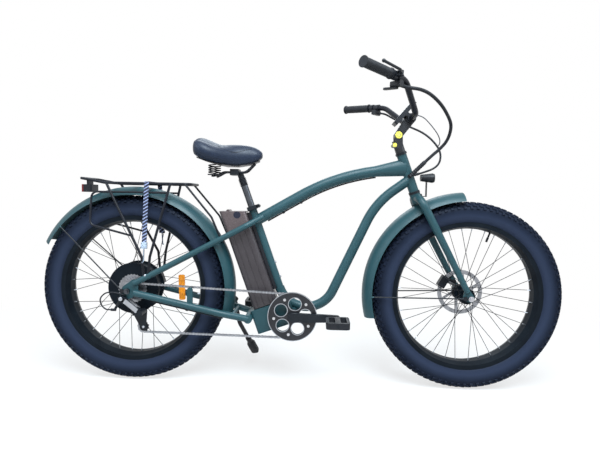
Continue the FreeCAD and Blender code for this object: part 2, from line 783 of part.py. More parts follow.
def top_tube():
    along = slope(TOP_TUBE_HEAD_SLOPE)
    flare_start = TOP_TUBE_END - along * FLARE_LENGTH
    round_part = tube([TOP_TUBE_START, TOP_TUBE_CORNER, flare_start], [TOP_TUBE_BEND], TOP_TUBE_RADIUS)
    tall = Part.Wire(Part.Ellipse(TOP_TUBE_END + along.cross(Y_AXIS) * FLARE_HALF_HEIGHT,
                                  TOP_TUBE_END + Y_AXIS * TOP_TUBE_RADIUS, TOP_TUBE_END).toShape())
    small = Part.Wire(Part.makeCircle(TOP_TUBE_RADIUS, flare_start, along))
    flare = Part.makeLoft([small, tall], True)
    return fused([round_part, flare]).cut(head_tube_body(HEAD_TUBE_RADIUS)).cut(seat_tube_body())


DOWN_LOW = seat(DOWN_TUBE_LOW_REACH)
DOWN_FRONT = DOWN_LOW + X_AXIS * DOWN_TUBE_LOW_RUN
DOWN_TOP = steer(DOWN_TUBE_HEAD_REACH)
DOWN_KNEE = meet(DOWN_FRONT, slope(DOWN_TUBE_SLOPE), DOWN_TOP, slope(DOWN_TUBE_HEAD_SLOPE))


def down_tube_body():
    points = [DOWN_TOP, DOWN_KNEE, DOWN_FRONT, DOWN_LOW, seat(DOWN_TUBE_END_REACH)]
    return tube(points, [DOWN_TUBE_UPPER_BEND, DOWN_TUBE_LOWER_BEND, DOWN_TUBE_LOWER_BEND], DOWN_TUBE_RADIUS)


def down_tube(top):
    shell = cross_rod(BRACKET, -SHELL_HALF_WIDTH, SHELL_HALF_WIDTH, SHELL_RADIUS)
    return down_tube_body().cut(head_tube_body(HEAD_TUBE_RADIUS)).cut(top).cut(shell)


# Rear triangle
def seat_stay_points(side):
    along = slope(TOP_TUBE_REAR_SLOPE)
    root = TOP_TUBE_START + along * STAY_ROOT_AHEAD + Y_AXIS * (side * STAY_ROOT_SIDE)
    knee = TOP_TUBE_START - along * STAY_KNEE_BEHIND + Y_AXIS * (side * STAY_KNEE_SIDE)
    end = REAR_AXLE + V(SEAT_STAY_END_AHEAD, side * STAY_END_SIDE, SEAT_STAY_END_RISE)
    return root, knee, end


def bridge(start, end):
    place = line_at_radius(start, end, REAR_AXLE, FENDER_CROWN_RADIUS + BRIDGE_RADIUS + SEATING)
    share = (start.x - place.x) / (start.x - end.x)
    half = abs(start.y) + (abs(end.y) - abs(start.y)) * share
    return cross_rod(place, -half, half, BRIDGE_RADIUS)


def seat_stays(top, ends):
    root, knee, end = seat_stay_points(LEFT)
    left = tube([root, knee, end], [STAY_KNEE_BEND], STAY_RADIUS)
    welded = fused([left, mirrored(left), bridge(knee, end)])
    return welded.cut(top).cut(seat_tube_body()).cut(ends)


LUG = BRACKET - V(LUG_BEHIND, 0, LUG_DROP)


def chain_stay_points(side):
    root = LUG + Y_AXIS * (side * CHAIN_STAY_ROOT_SIDE)
    end = REAR_AXLE + V(CHAIN_STAY_END_AHEAD, side * STAY_END_SIDE, -CHAIN_STAY_END_DROP)
    knee = root + (end - root) * CHAIN_STAY_KNEE_SHARE
    return root, V(knee.x, side * CHAIN_STAY_KNEE_SIDE, knee.z), end


def chain_stay_at(share, side):
    root, knee, end = chain_stay_points(side)
    return knee + (end - knee) * share


STAND_ROOT = chain_stay_at(0, LEFT)
STAND_FOOT = V(-STAND_FOOT_BEHIND, STAND_FOOT_SIDE, STAND_FOOT_HEIGHT)
STAND_FOLDED = unit(chain_stay_points(LEFT)[2] + Y_AXIS * STAND_FOLD_SIDE - STAND_ROOT)
STAND_AXIS = unit((STAND_FOOT - STAND_ROOT).cross(STAND_FOLDED))
STAND_PIVOT = STAND_ROOT + STAND_AXIS * STAND_PIVOT_REACH


def dropout(side):
    seat_end = REAR_AXLE + V(SEAT_STAY_END_AHEAD, 0, SEAT_STAY_END_RISE)
    chain_end = REAR_AXLE + V(CHAIN_STAY_END_AHEAD, 0, -CHAIN_STAY_END_DROP)
    circles = [(chain_end, DROPOUT_STAY_RADIUS), (seat_end, DROPOUT_STAY_RADIUS), (REAR_AXLE, DROPOUT_RADIUS)]
    if side == RIGHT:
        circles.append((HANGER, HANGER_RADIUS))
    outer = DROPOUT_INNER_SIDE + DROPOUT_THICKNESS
    body = plate(circles, side * DROPOUT_INNER_SIDE, side * outer)
    return body.cut(cross_rod(REAR_AXLE, -outer - OVERRUN, outer + OVERRUN, AXLE_RADIUS + RUNNING_FIT))


HANGER = REAR_AXLE - V(HANGER_BEHIND, 0, HANGER_DROP)


def chain_stays(case):
    pieces = [cross_rod(LUG, -CHAIN_STAY_ROOT_SIDE - LUG_CHEEK, CHAIN_STAY_ROOT_SIDE + LUG_CHEEK, LUG_RADIUS)]
    for side in SIDES:
        root, knee, end = chain_stay_points(side)
        pieces.append(tube([root, knee, end], [CHAIN_STAY_KNEE_BEND], CHAIN_STAY_RADIUS))
        pieces.append(dropout(side))
    pieces.append(bridge(chain_stay_points(LEFT)[0], chain_stay_points(LEFT)[2]))
    tab_root = chain_stay_at(TAB_SHARE, RIGHT)
    tab_top = tab_root + Z_AXIS * TAB_HEIGHT
    pieces.append(plate([(V(tab_root.x, 0, tab_root.z), TAB_RADIUS),
                         (V(tab_top.x, 0, tab_top.z), TAB_RADIUS)],
                        tab_root.y - TAB_THICKNESS / 2, tab_root.y + TAB_THICKNESS / 2))
    half_eye = STAND_AXIS * (STAND_EYE_THICKNESS / 2 + CLEARANCE)
    pieces.append(rod(STAND_ROOT, STAND_PIVOT - half_eye, STAND_EYE_RADIUS))
    pieces.append(rod(STAND_ROOT, STAND_PIVOT + half_eye, STAND_PIN_RADIUS))
    pieces.append(rod(STAND_PIVOT + half_eye, STAND_PIVOT + half_eye + STAND_AXIS * STAND_PIN_HEAD,
                      STAND_PIN_RADIUS + STAND_PIN_HEAD))
    return fused(pieces).cut(case)


def kickstand_leg():
    knee = V(-STAND_KNEE_BEHIND, STAND_KNEE_SIDE, STAND_KNEE_HEIGHT)
    leg = tube([STAND_PIVOT, knee, STAND_FOOT], [STAND_BEND], STAND_RADIUS)
    half_eye = STAND_AXIS * (STAND_EYE_THICKNESS / 2)
    eye = rod(STAND_PIVOT - half_eye, STAND_PIVOT + half_eye, STAND_EYE_RADIUS)
    sleeve_top = knee + (STAND_FOOT - knee) * STAND_SLEEVE_SHARE
    sleeve = rod(sleeve_top, STAND_FOOT, STAND_FOOT_RADIUS)
    keep = rod(STAND_PIVOT - half_eye * 2, STAND_PIVOT + half_eye * 2, STAND_PIN_RADIUS + RUNNING_FIT)
    gap = half_eye * (1 + CLEARANCE / half_eye.Length)
    slack = [rod(STAND_PIVOT + way, STAND_PIVOT + way * 4, STAND_EYE_RADIUS + CLEARANCE)
             for way in (gap, gap * -1)]
    return fused([leg, eye, sleeve]).cut(keep).cut(slack[0]).cut(slack[1])


# Controller case and bearings
def controller_case(down):
    height = CASE_TOP + CASE_BOTTOM
    length = CASE_BEHIND + CASE_AHEAD
    centre = seat((CASE_TOP - CASE_BOTTOM) / 2, (CASE_AHEAD - CASE_BEHIND) / 2)
    case = block(centre, SEAT_FORWARD, SEAT_UP, length, 2 * CASE_HALF_WIDTH, height, CASE_CORNER)
    shell = cross_rod(BRACKET, -SHELL_HALF_WIDTH, SHELL_HALF_WIDTH, SHELL_RADIUS)
    bore = cross_rod(BRACKET, -SHELL_HALF_WIDTH - OVERRUN, SHELL_HALF_WIDTH + OVERRUN, SHELL_BORE)
    return fused([case, shell]).cut(down).cut(seat_tube_body()).cut(bore)


def frame_bearings():
    top = HEAD_TUBE_BOTTOM + HEAD_TUBE_LENGTH
    steerer = rod(steer(HEAD_TUBE_BOTTOM - 2 * CUP_HEIGHT), steer(top + 2 * CUP_HEIGHT),
                  STEERER_RADIUS + RUNNING_FIT)
    lower = rod(steer(HEAD_TUBE_BOTTOM - CUP_HEIGHT), steer(HEAD_TUBE_BOTTOM), CUP_RADIUS).cut(steerer)
    upper = rod(steer(top), steer(top + CUP_HEIGHT), CUP_RADIUS).cut(steerer)
    cartridge = ring(BRACKET, -SHELL_HALF_WIDTH, SHELL_HALF_WIDTH, SHELL_BORE, SPINDLE_RADIUS + RUNNING_FIT)
    return group([lower, upper, cartridge])


# Crank set
def chainring():
    toothed_ring = toothed(BRACKET, RING_TEETH, -CHAIN_LINE, RING_THICKNESS)
    guard_side = CHAIN_LINE + GUARD_OFFSET
    guard = cross_rod(BRACKET, -guard_side, -guard_side - GUARD_THICKNESS, GUARD_RADIUS)
    outer = guard_side + GUARD_THICKNESS
    bore = cross_rod(BRACKET, 0, -outer - OVERRUN, CRANK_BOSS_RADIUS + SEATING / 2)
    bolts = []
    for index in range(RING_HOLES):
        turn = FULL_TURN / RING_HOLES * index
        hole = polar(BRACKET, RING_HOLE_REACH, turn + RING_HOLE_TURN)
        window = cross_rod(hole, 0, -outer - OVERRUN, RING_HOLE_RADIUS)
        toothed_ring = toothed_ring.cut(window)
        guard = guard.cut(window)
        place = polar(BRACKET, RING_BOLT_REACH, turn + RING_HOLE_TURN + FULL_TURN / RING_HOLES / 2)
        spacer = cross_rod(place, -CHAIN_LINE - RING_THICKNESS / 2, -guard_side, RING_BOLT_RADIUS)
        head = cross_rod(place, -outer, -outer - RING_BOLT_HEAD, RING_BOLT_RADIUS)
        bolts += [spacer, head]
    return group([toothed_ring.cut(bore), guard.cut(bore)] + bolts)


def crank_eye(side):
    return BRACKET - V(side * CRANK_LENGTH, 0, 0)


def crank_arms():
    pieces = []
    outer = CRANK_INNER_SIDE + CRANK_THICKNESS
    for side in SIDES:
        eye = crank_eye(side)
        circles = [(BRACKET, CRANK_BOSS_RADIUS), (eye, CRANK_EYE_RADIUS)]
        boss = cross_rod(BRACKET, side * CRANK_BOSS_SIDE, side * CRANK_INNER_SIDE, CRANK_BOSS_RADIUS)
        arm = fused([plate(circles, side * CRANK_INNER_SIDE, side * outer), boss])
        arm = arm.cut(cross_rod(BRACKET, -outer - OVERRUN, outer + OVERRUN, SPINDLE_RADIUS))
        pieces.append(arm.cut(cross_rod(eye, 0, side * (outer + OVERRUN), PEDAL_AXLE_RADIUS)))
        pieces.append(cross_rod(eye, side * CRANK_INNER_SIDE, side * (outer + PEDAL_GAP + PEDAL_WIDTH),
                                PEDAL_AXLE_RADIUS))
    pieces.append(cross_rod(BRACKET, -outer, outer, SPINDLE_RADIUS))
    return group(pieces)


def pedal(side):
    inner = CRANK_INNER_SIDE + CRANK_THICKNESS + PEDAL_GAP
    eye = crank_eye(side)
    middle = eye + Y_AXIS * (side * (inner + PEDAL_WIDTH / 2))
    body = block(middle, X_AXIS, Z_AXIS, PEDAL_LENGTH, PEDAL_WIDTH, PEDAL_HEIGHT, PEDAL_CORNER)
    half_hole = PEDAL_LENGTH / 2 - PEDAL_WALL - PEDAL_CORE_RADIUS
    for way in SIDES:
        place = middle + X_AXIS * (way * (PEDAL_CORE_RADIUS + half_hole / 2))
        window = block(place, X_AXIS, Z_AXIS, half_hole, PEDAL_WIDTH - 2 * PEDAL_WALL,
                       PEDAL_HEIGHT + OVERRUN, PEDAL_HOLE_CORNER)
        body = body.cut(window)
    return body.cut(cross_rod(eye, 0, side * (inner + PEDAL_WIDTH + OVERRUN),
                              PEDAL_AXLE_RADIUS + RUNNING_FIT))


# Chain and derailleur
GUIDE = REAR_AXLE + V(GUIDE_AHEAD, 0, -GUIDE_DROP)
TENSION = REAR_AXLE + V(TENSION_AHEAD, 0, -TENSION_DROP)


def chain():
    stops = [(BRACKET, RING_TEETH, 1), (REAR_AXLE, COG_TEETH[0], 1), (GUIDE, PULLEY_TEETH, -1),
             (TENSION, PULLEY_TEETH, 1)]
    wires = []
    for offset in (CHAIN_HEIGHT / 2, -CHAIN_HEIGHT / 2):
        wires.append(belt_wire([(c, pitch_radius(teeth) + sense * offset, sense) for c, teeth,
                                sense in stops]))
    band = Part.Face(wires[0]).cut(Part.Face(wires[1]))
    plates = []
    for side in SIDES:
        inner = -CHAIN_LINE + side * CHAIN_HALF_GAP
        strip = band.copy()
        strip.translate(Y_AXIS * inner)
        plates.append(strip.extrude(Y_AXIS * (side * CHAIN_PLATE)))
    return group(plates)


LINK_RUN = slope(-LINK_DROP_ANGLE)
LINK_AXIS = slope(math.pi / 2 - LINK_DROP_ANGLE)
LINK_WAY = LINK_RUN * math.cos(LINK_LEAN) - Y_AXIS * math.sin(LINK_LEAN)
KNUCKLE_SIDE = DROPOUT_INNER_SIDE + DROPOUT_THICKNESS
LINK_START = HANGER + LINK_RUN * KNUCKLE_PIVOT_REACH - Y_AXIS * (KNUCKLE_SIDE + KNUCKLE_LENGTH / 2)
LINK_END = LINK_START + LINK_WAY * LINK_LENGTH
BARREL_ROOT = HANGER - V(BARREL_BEHIND, KNUCKLE_SIDE + KNUCKLE_LENGTH / 2, BARREL_DROP)
BARREL_END = BARREL_ROOT - X_AXIS * BARREL_LENGTH


def link_pin(place):
    half = LINK_HALF_WIDTH + CLEARANCE + LINK_EAR
    return rod(place - LINK_AXIS * half, place + LINK_AXIS * half, LINK_PIN_RADIUS)


def link_ears(place, way, reach):
    pieces = [link_pin(place)]
    for side in SIDES:
        near = LINK_AXIS * (side * (LINK_HALF_WIDTH + CLEARANCE))
        far = LINK_AXIS * (side * (LINK_HALF_WIDTH + CLEARANCE + LINK_EAR))
        pieces.append(rod(place + near, place + far, LINK_EYE_RADIUS))
        middle = place + (near + far) * 0.5 + way * (reach / 2)
        pieces.append(block(middle, way, LINK_AXIS, reach, 2 * LINK_EYE_RADIUS, LINK_EAR, LINK_EDGE))
    return pieces


def derailleur_body():
    knuckle = cross_rod(HANGER, -KNUCKLE_SIDE, -KNUCKLE_SIDE - KNUCKLE_LENGTH, KNUCKLE_RADIUS)
    arm = rod(HANGER - Y_AXIS * (KNUCKLE_SIDE + KNUCKLE_LENGTH / 2), BARREL_ROOT, BARREL_RADIUS)
    barrel = rod(BARREL_ROOT + X_AXIS * BARREL_RADIUS, BARREL_END, BARREL_RADIUS)
    return fused([knuckle, arm, barrel] + link_ears(LINK_START, LINK_RUN * -1, KNUCKLE_PIVOT_REACH))


def derailleur_link():
    half = LINK_AXIS * LINK_HALF_WIDTH
    eyes = [rod(place - half, place + half, LINK_EYE_RADIUS) for place in (LINK_START, LINK_END)]
    web = block((LINK_START + LINK_END) * 0.5, LINK_WAY, LINK_AXIS, LINK_LENGTH, LINK_THICKNESS,
                2 * LINK_HALF_WIDTH, LINK_EDGE)
    holes = [rod(p - half * 2, p + half * 2, LINK_PIN_RADIUS + RUNNING_FIT) for p in (LINK_START, LINK_END)]
    return fused(eyes + [web]).cut(holes[0]).cut(holes[1])


def derailleur_cage():
    knuckle = LINK_END + LINK_RUN * KNUCKLE_PIVOT_REACH
    axis = V(knuckle.x, 0, knuckle.z)
    inner = CHAIN_LINE - CAGE_HALF_GAP
    outer = CHAIN_LINE + CAGE_HALF_GAP
    stub = cross_rod(axis, -outer, knuckle.y - CAGE_KNUCKLE_RADIUS, CAGE_KNUCKLE_RADIUS)
    outline = [(TENSION, CAGE_PLATE_RADIUS), (axis, CAGE_PLATE_RADIUS), (GUIDE, CAGE_PLATE_RADIUS)]
    outer_plate = plate(outline, -outer, -outer - CAGE_PLATE)
    inner_plate = plate([(TENSION, CAGE_PLATE_RADIUS), (GUIDE, CAGE_PLATE_RADIUS)], -inner,
                        -inner + CAGE_PLATE)
    pins = [cross_rod(place, -inner + CAGE_PLATE, -outer - CAGE_PLATE, PULLEY_AXLE_RADIUS)
            for place in (GUIDE, TENSION)]
    return fused([stub, outer_plate, inner_plate] + pins + link_ears(LINK_END, LINK_RUN, KNUCKLE_PIVOT_REACH))


def pulley(place):
    wheel = toothed(place, PULLEY_TEETH, -CHAIN_LINE, PULLEY_THICKNESS)
    hub_half = CAGE_HALF_GAP - CLEARANCE
    hub = cross_rod(place, -CHAIN_LINE - hub_half, -CHAIN_LINE + hub_half, 2 * PULLEY_AXLE_RADIUS)
    bore = cross_rod(place, 0, -2 * CHAIN_LINE, PULLEY_AXLE_RADIUS + RUNNING_FIT)
    return fused([wheel, hub]).cut(bore)


def cassette():
    core_radius = MOTOR_BOSS_RADIUS + RUNNING_FIT + COG_CORE_WALL
    inner = CHAIN_LINE - COG_SPACING * (len(COG_TEETH) - 1) - COG_THICKNESS
    core = cross_rod(REAR_AXLE, -inner, -CHAIN_LINE - COG_THICKNESS, core_radius)
    cogs = [toothed(REAR_AXLE, teeth, -CHAIN_LINE + COG_SPACING * index, COG_THICKNESS)
            for index, teeth in enumerate(COG_TEETH)]
    bore = cross_rod(REAR_AXLE, 0, -2 * CHAIN_LINE, MOTOR_BOSS_RADIUS + RUNNING_FIT)
    return fused([core] + cogs).cut(bore)


# Wheels
def tyre(axle):
    def place(side, radius):
        return axle + V(radius, side, 0)

    def half(side):
        outside = [
            Part.LineSegment(place(0, TYRE_RADIUS), place(side * TREAD_HALF_FLAT, TYRE_RADIUS)),
            Part.LineSegment(place(side * TREAD_HALF_FLAT, TYRE_RADIUS),
                             place(side * TYRE_SHOULDER_HALF, TYRE_SHOULDER_RADIUS)),
            Part.Arc(place(side * TYRE_SHOULDER_HALF, TYRE_SHOULDER_RADIUS),
                     place(side * TYRE_HALF_WIDTH, TYRE_WIDEST_RADIUS), place(side * BEAD_HALF, BEAD_TOP)),
            Part.LineSegment(place(side * BEAD_HALF, BEAD_TOP), place(side * BEAD_HALF, BEAD_RADIUS)),
        ]
        bead_inner = BEAD_HALF - TYRE_WALL
        inner_crown = TYRE_RADIUS - 2 * TYRE_WALL
        inside = [
            Part.LineSegment(place(side * BEAD_HALF, BEAD_RADIUS), place(side * bead_inner, BEAD_RADIUS)),
            Part.LineSegment(place(side * bead_inner, BEAD_RADIUS), place(side * bead_inner, BEAD_TOP)),
            Part.Arc(place(side * bead_inner, BEAD_TOP),
                     place(side * (TYRE_HALF_WIDTH - TYRE_WALL), TYRE_WIDEST_RADIUS),
                     place(side * TREAD_HALF_FLAT, inner_crown)),
            Part.LineSegment(place(side * TREAD_HALF_FLAT, inner_crown), place(0, inner_crown)),
        ]
        return [curve.toShape() for curve in outside + inside]

    left = half(LEFT)
    right = half(RIGHT)
    wire = Part.Wire(left + [edge for edge in reversed(right)])
    return Part.Face(wire).revolve(axle, Y_AXIS, FULL_TURN)


def rim(axle):
    flange_inner = RIM_HALF_WIDTH - RIM_FLANGE
    half = [(RIM_BED_HALF, RIM_BED_RADIUS), (RIM_HALF_WIDTH, RIM_EDGE_RADIUS),
            (RIM_HALF_WIDTH, RIM_FLANGE_RADIUS),
            (flange_inner, RIM_FLANGE_RADIUS), (flange_inner, RIM_SEAT_RADIUS),
            (RIM_WELL_HALF, RIM_SEAT_RADIUS),
            (RIM_WELL_HALF, RIM_WELL_RADIUS)]
    return lathe(half + [(-side, radius) for side, radius in reversed(half)], axle)


def spokes(axle, hole_radius, flange_side, crosses):
    step = FULL_TURN / SPOKES_PER_SIDE
    pieces = []
    for side in SIDES:
        shift = step / 4 * side
        for index in range(SPOKES_PER_SIDE):
            way = 1 if index % 2 == 0 else -1
            offset = SPOKE_OUTER_OFFSET if way == 1 else -SPOKE_OFFSET
            hub = polar(axle, hole_radius, step * index + shift, side * (flange_side + offset))
            turn = step * index + shift + way * crosses * step
            end = polar(axle, RIM_BED_RADIUS - SPOKE_RIM_GAP, turn, side * SPOKE_RIM_SIDE)
            pieces.append(rod(hub, end, SPOKE_RADIUS))
    return group(pieces)


def front_hub():
    flange = FRONT_FLANGE_HOLE_RADIUS + FLANGE_MARGIN
    half = [(FRONT_FLANGE_SIDE - FLANGE_HALF_THICKNESS, FRONT_HUB_RADIUS),
            (FRONT_FLANGE_SIDE - FLANGE_HALF_THICKNESS, flange),
            (FRONT_FLANGE_SIDE + FLANGE_HALF_THICKNESS, flange),
            (FRONT_FLANGE_SIDE + FLANGE_HALF_THICKNESS, FRONT_HUB_RADIUS)]
    rotor_face = FRONT_ROTOR_SIDE - ROTOR_THICKNESS / 2
    bore = AXLE_RADIUS + RUNNING_FIT
    left = half + [(rotor_face, FRONT_HUB_RADIUS), (rotor_face, bore)]
    right = half + [(FRONT_HUB_HALF, FRONT_HUB_RADIUS), (FRONT_HUB_HALF, bore)]
    return lathe(left + [(-side, radius) for side, radius in reversed(right)], FRONT_AXLE)


def rotor(axle, side):
    low = side - ROTOR_THICKNESS / 2
    high = side + ROTOR_THICKNESS / 2
    track = ring(axle, low, high, ROTOR_RADIUS, ROTOR_RADIUS - ROTOR_TRACK)
    carrier = ring(axle, low, high, ROTOR_CARRIER_RADIUS, ROTOR_BORE)
    arms = []
    for index in range(ROTOR_ARMS):
        turn = FULL_TURN / ROTOR_ARMS * index
        start = polar(axle, ROTOR_CARRIER_RADIUS - ROTOR_ARM_RADIUS, turn)
        end = polar(axle, ROTOR_RADIUS - ROTOR_TRACK / 2, turn + ROTOR_ARM_SWEEP)
        arms.append(plate([(start, ROTOR_ARM_RADIUS), (end, ROTOR_ARM_RADIUS)], low, high))
    return fused([track, carrier] + arms)


def hub_motor():
    flange_outer = MOTOR_HALF_WIDTH + FLANGE_HALF_THICKNESS
    flange_inner = MOTOR_HALF_WIDTH - FLANGE_HALF_THICKNESS
    bore = AXLE_RADIUS + RUNNING_FIT
    shell = MOTOR_HOLE_RADIUS - FLANGE_MARGIN
    half = [(flange_inner, shell), (flange_inner, MOTOR_RADIUS), (flange_outer, MOTOR_RADIUS),
            (flange_outer, MOTOR_COVER_RADIUS)]
    rotor_face = REAR_ROTOR_SIDE - ROTOR_THICKNESS / 2
    cover = flange_outer + MOTOR_COVER_RISE
    left = half + [(cover, ROTOR_CARRIER_RADIUS), (rotor_face, ROTOR_CARRIER_RADIUS), (rotor_face, bore)]
    core_end = CHAIN_LINE + COG_THICKNESS
    neck = flange_outer + COG_NECK
    right = half + [(neck, 2 * MOTOR_BOSS_RADIUS), (neck, MOTOR_BOSS_RADIUS), (core_end, MOTOR_BOSS_RADIUS),
                    (core_end, bore)]
    return lathe(left + [(-side, radius) for side, radius in reversed(right)], REAR_AXLE)


def axle_body(axle, left_end, right_end, seat_side, seat_thickness):
    outer = seat_side + seat_thickness
    tail = outer + AXLE_NUT_HEIGHT + AXLE_TAIL
    pieces = [cross_rod(axle, -tail, tail, AXLE_RADIUS)]
    pieces.append(cross_rod(axle, left_end + CLEARANCE, seat_side, SPACER_RADIUS))
    pieces.append(cross_rod(axle, -right_end - CLEARANCE, -seat_side, SPACER_RADIUS))
    for side in SIDES:
        pieces.append(cross_rod(axle, side * outer, side * (outer + AXLE_NUT_HEIGHT), AXLE_NUT_RADIUS))
    return fused(pieces)


def rear_axle():
    rotor_end = REAR_ROTOR_SIDE + ROTOR_THICKNESS / 2
    return axle_body(REAR_AXLE, rotor_end, CHAIN_LINE + COG_THICKNESS, DROPOUT_INNER_SIDE, DROPOUT_THICKNESS)


def front_axle():
    rotor_end = FRONT_ROTOR_SIDE + ROTOR_THICKNESS / 2
    return axle_body(FRONT_AXLE, rotor_end, FRONT_HUB_HALF, FRONT_DROPOUT_SIDE, FORK_TIP_THICKNESS)


def spoke_reflector():
    place = polar(REAR_AXLE, RIM_BED_RADIUS - REFLECTOR_DEPTH, REFLECTOR_ANGLE, -REFLECTOR_SIDE)
    radial = slope(math.radians(REFLECTOR_ANGLE))
    return block(place, radial, Y_AXIS, REFLECTOR_WIDTH, REFLECTOR_LENGTH, REFLECTOR_THICKNESS,
                 REFLECTOR_CORNER)


# Fork, stem and bars
CROWN_TOP = HEAD_TUBE_BOTTOM - CUP_HEIGHT - CLEARANCE
CROWN_MIDDLE = CROWN_TOP - CROWN_HEIGHT / 2
CROWN_BOTTOM = CROWN_TOP - CROWN_HEIGHT
STEM_FOOT = HEAD_TUBE_BOTTOM + HEAD_TUBE_LENGTH + CUP_HEIGHT + CLEARANCE
STEM_TOP = STEM_FOOT + STEM_BASE_HEIGHT
STEM_PIVOT = steer(STEM_FOOT + STEM_PIVOT_RISE, STEM_PIVOT_AHEAD)
BAR_CENTRE = STEM_PIVOT + slope(STEM_ARM_RISE) * STEM_ARM_LENGTH


def leg_points(side):
    shoulder = steer(CROWN_MIDDLE, 0, side * LEG_SIDE)
    end = FRONT_AXLE + V(-LEG_END_BACK, side * LEG_SIDE, LEG_END_RISE)
    return shoulder, end


def fork():
    pieces = [rod(steer(CROWN_BOTTOM), steer(CROWN_TOP), CROWN_RADIUS),
              rod(steer(CROWN_TOP), steer(STEM_TOP), STEERER_RADIUS)]
    for side in SIDES:
        shoulder, end = leg_points(side)
        down = unit(end - shoulder)
        cone_start = shoulder + down * LEG_CONE_START
        pieces.append(tube([steer(CROWN_MIDDLE), shoulder, cone_start], [LEG_BEND], LEG_TOP_RADIUS))
        pieces.append(cone(cone_start, end, LEG_TOP_RADIUS, LEG_END_RADIUS))
        inner = side * FRONT_DROPOUT_SIDE
        outer = side * (FRONT_DROPOUT_SIDE + FORK_TIP_THICKNESS)
        tip = [(FRONT_AXLE, FORK_TIP_RADIUS), (V(end.x, 0, end.z), LEG_END_RADIUS),
               (FRONT_AXLE - X_AXIS * WIRE_EYE_BACK, WIRE_EYE_RADIUS)]
        pieces.append(plate(tip, inner, outer))
    outside = 2 * FRONT_DROPOUT_SIDE
    bore = cross_rod(FRONT_AXLE, -outside, outside, AXLE_RADIUS + RUNNING_FIT)
    return fused(pieces).cut(bore)


def stem():
    steerer = rod(steer(STEM_FOOT - OVERRUN), steer(STEM_TOP), STEERER_RADIUS)
    base = rod(steer(STEM_FOOT), steer(STEM_TOP + STEM_CAP), STEM_BASE_RADIUS)
    root = steer(STEM_TOP - STEM_PIVOT_RADIUS)
    ear_inner = STEM_HALF_WIDTH - STEM_EAR
    ears = []
    plugs = []
    pinch = steer(STEM_FOOT + STEM_PINCH_RISE, -STEM_PINCH_BACK)
    for side in SIDES:
        ears.append(plate([(root, STEM_PIVOT_RADIUS), (STEM_PIVOT, STEM_PIVOT_RADIUS)],
                          side * ear_inner, side * STEM_HALF_WIDTH))
        plugs.append(cross_rod(STEM_PIVOT, side * STEM_HALF_WIDTH,
                               side * (STEM_HALF_WIDTH + STEM_PLUG_HEIGHT),
                               STEM_PIVOT_RADIUS - STEM_PLUG_HEIGHT))
        plugs.append(cross_rod(pinch, side * STEM_PINCH_HALF, side * (STEM_PINCH_HALF + STEM_PLUG_HEIGHT),
                               STEM_PINCH_RADIUS))
    lug = cross_rod(pinch, -STEM_PINCH_HALF, STEM_PINCH_HALF, STEM_PINCH_RADIUS)
    base = fused([base, lug] + ears).cut(steerer)
    arm_half = ear_inner - SEATING
    arm = plate([(STEM_PIVOT, STEM_PIVOT_RADIUS), (BAR_CENTRE, STEM_CLAMP_RADIUS)], -arm_half, arm_half)
    clamp = cross_rod(BAR_CENTRE, -STEM_CLAMP_HALF, STEM_CLAMP_HALF, STEM_CLAMP_RADIUS)
    bar = cross_rod(BAR_CENTRE, -STEM_CLAMP_HALF - OVERRUN, STEM_CLAMP_HALF + OVERRUN, BAR_RADIUS)
    arm = fused([arm, clamp]).cut(bar).cut(rod(steer(STEM_FOOT), steer(STEM_TOP + STEM_CAP),
                                               STEM_BASE_RADIUS))
    return group([base, arm] + plugs)


def bar_points(side):
    centre = BAR_CENTRE + Y_AXIS * (side * BAR_CENTRE_SIDE)
    knee = BAR_CENTRE + V(-BAR_KNEE_BACK, side * BAR_KNEE_SIDE, BAR_KNEE_RISE)
    end = BAR_CENTRE + V(-BAR_END_BACK, side * BAR_END_SIDE, BAR_END_RISE)
    return centre, knee, end


def handlebar():
    right = bar_points(RIGHT)
    left = bar_points(LEFT)
    points = list(reversed(right)) + list(left)
    return tube(points, [BAR_OUTER_BEND, BAR_INNER_BEND, BAR_INNER_BEND, BAR_OUTER_BEND], BAR_RADIUS)


BAR_RUN = unit(bar_points(RIGHT)[2] - bar_points(RIGHT)[1])
BAR_UP = unit(Z_AXIS - BAR_RUN * BAR_RUN.z)
BAR_AHEAD = BAR_UP.cross(BAR_RUN)
GRIP_INNER = bar_points(RIGHT)[2] - BAR_RUN * GRIP_LENGTH


def on_bar(shape):
    """Moves a piece drawn at the inner end of a grip (X out along it, Y down, Z ahead) to the right grip."""
    shape.Placement = FreeCAD.Placement(GRIP_INNER, FreeCAD.Rotation(BAR_RUN, BAR_UP * -1, BAR_AHEAD))
    return shape


def grips():
    body = rod(V(0, 0, 0), V(GRIP_LENGTH + GRIP_FLANGE, 0, 0), GRIP_RADIUS)
    flanges = [rod(V(start, 0, 0), V(start + GRIP_FLANGE, 0, 0), GRIP_FLANGE_RADIUS)
               for start in (0, GRIP_LENGTH)]
    bar = rod(V(-OVERRUN, 0, 0), V(GRIP_LENGTH, 0, 0), BAR_RADIUS)
    right = on_bar(fused([body] + flanges).cut(bar))
    return group([right, mirrored(right)])


LEVER_PIVOT = V(-PERCH_INSET, 0, PERCH_REACH)


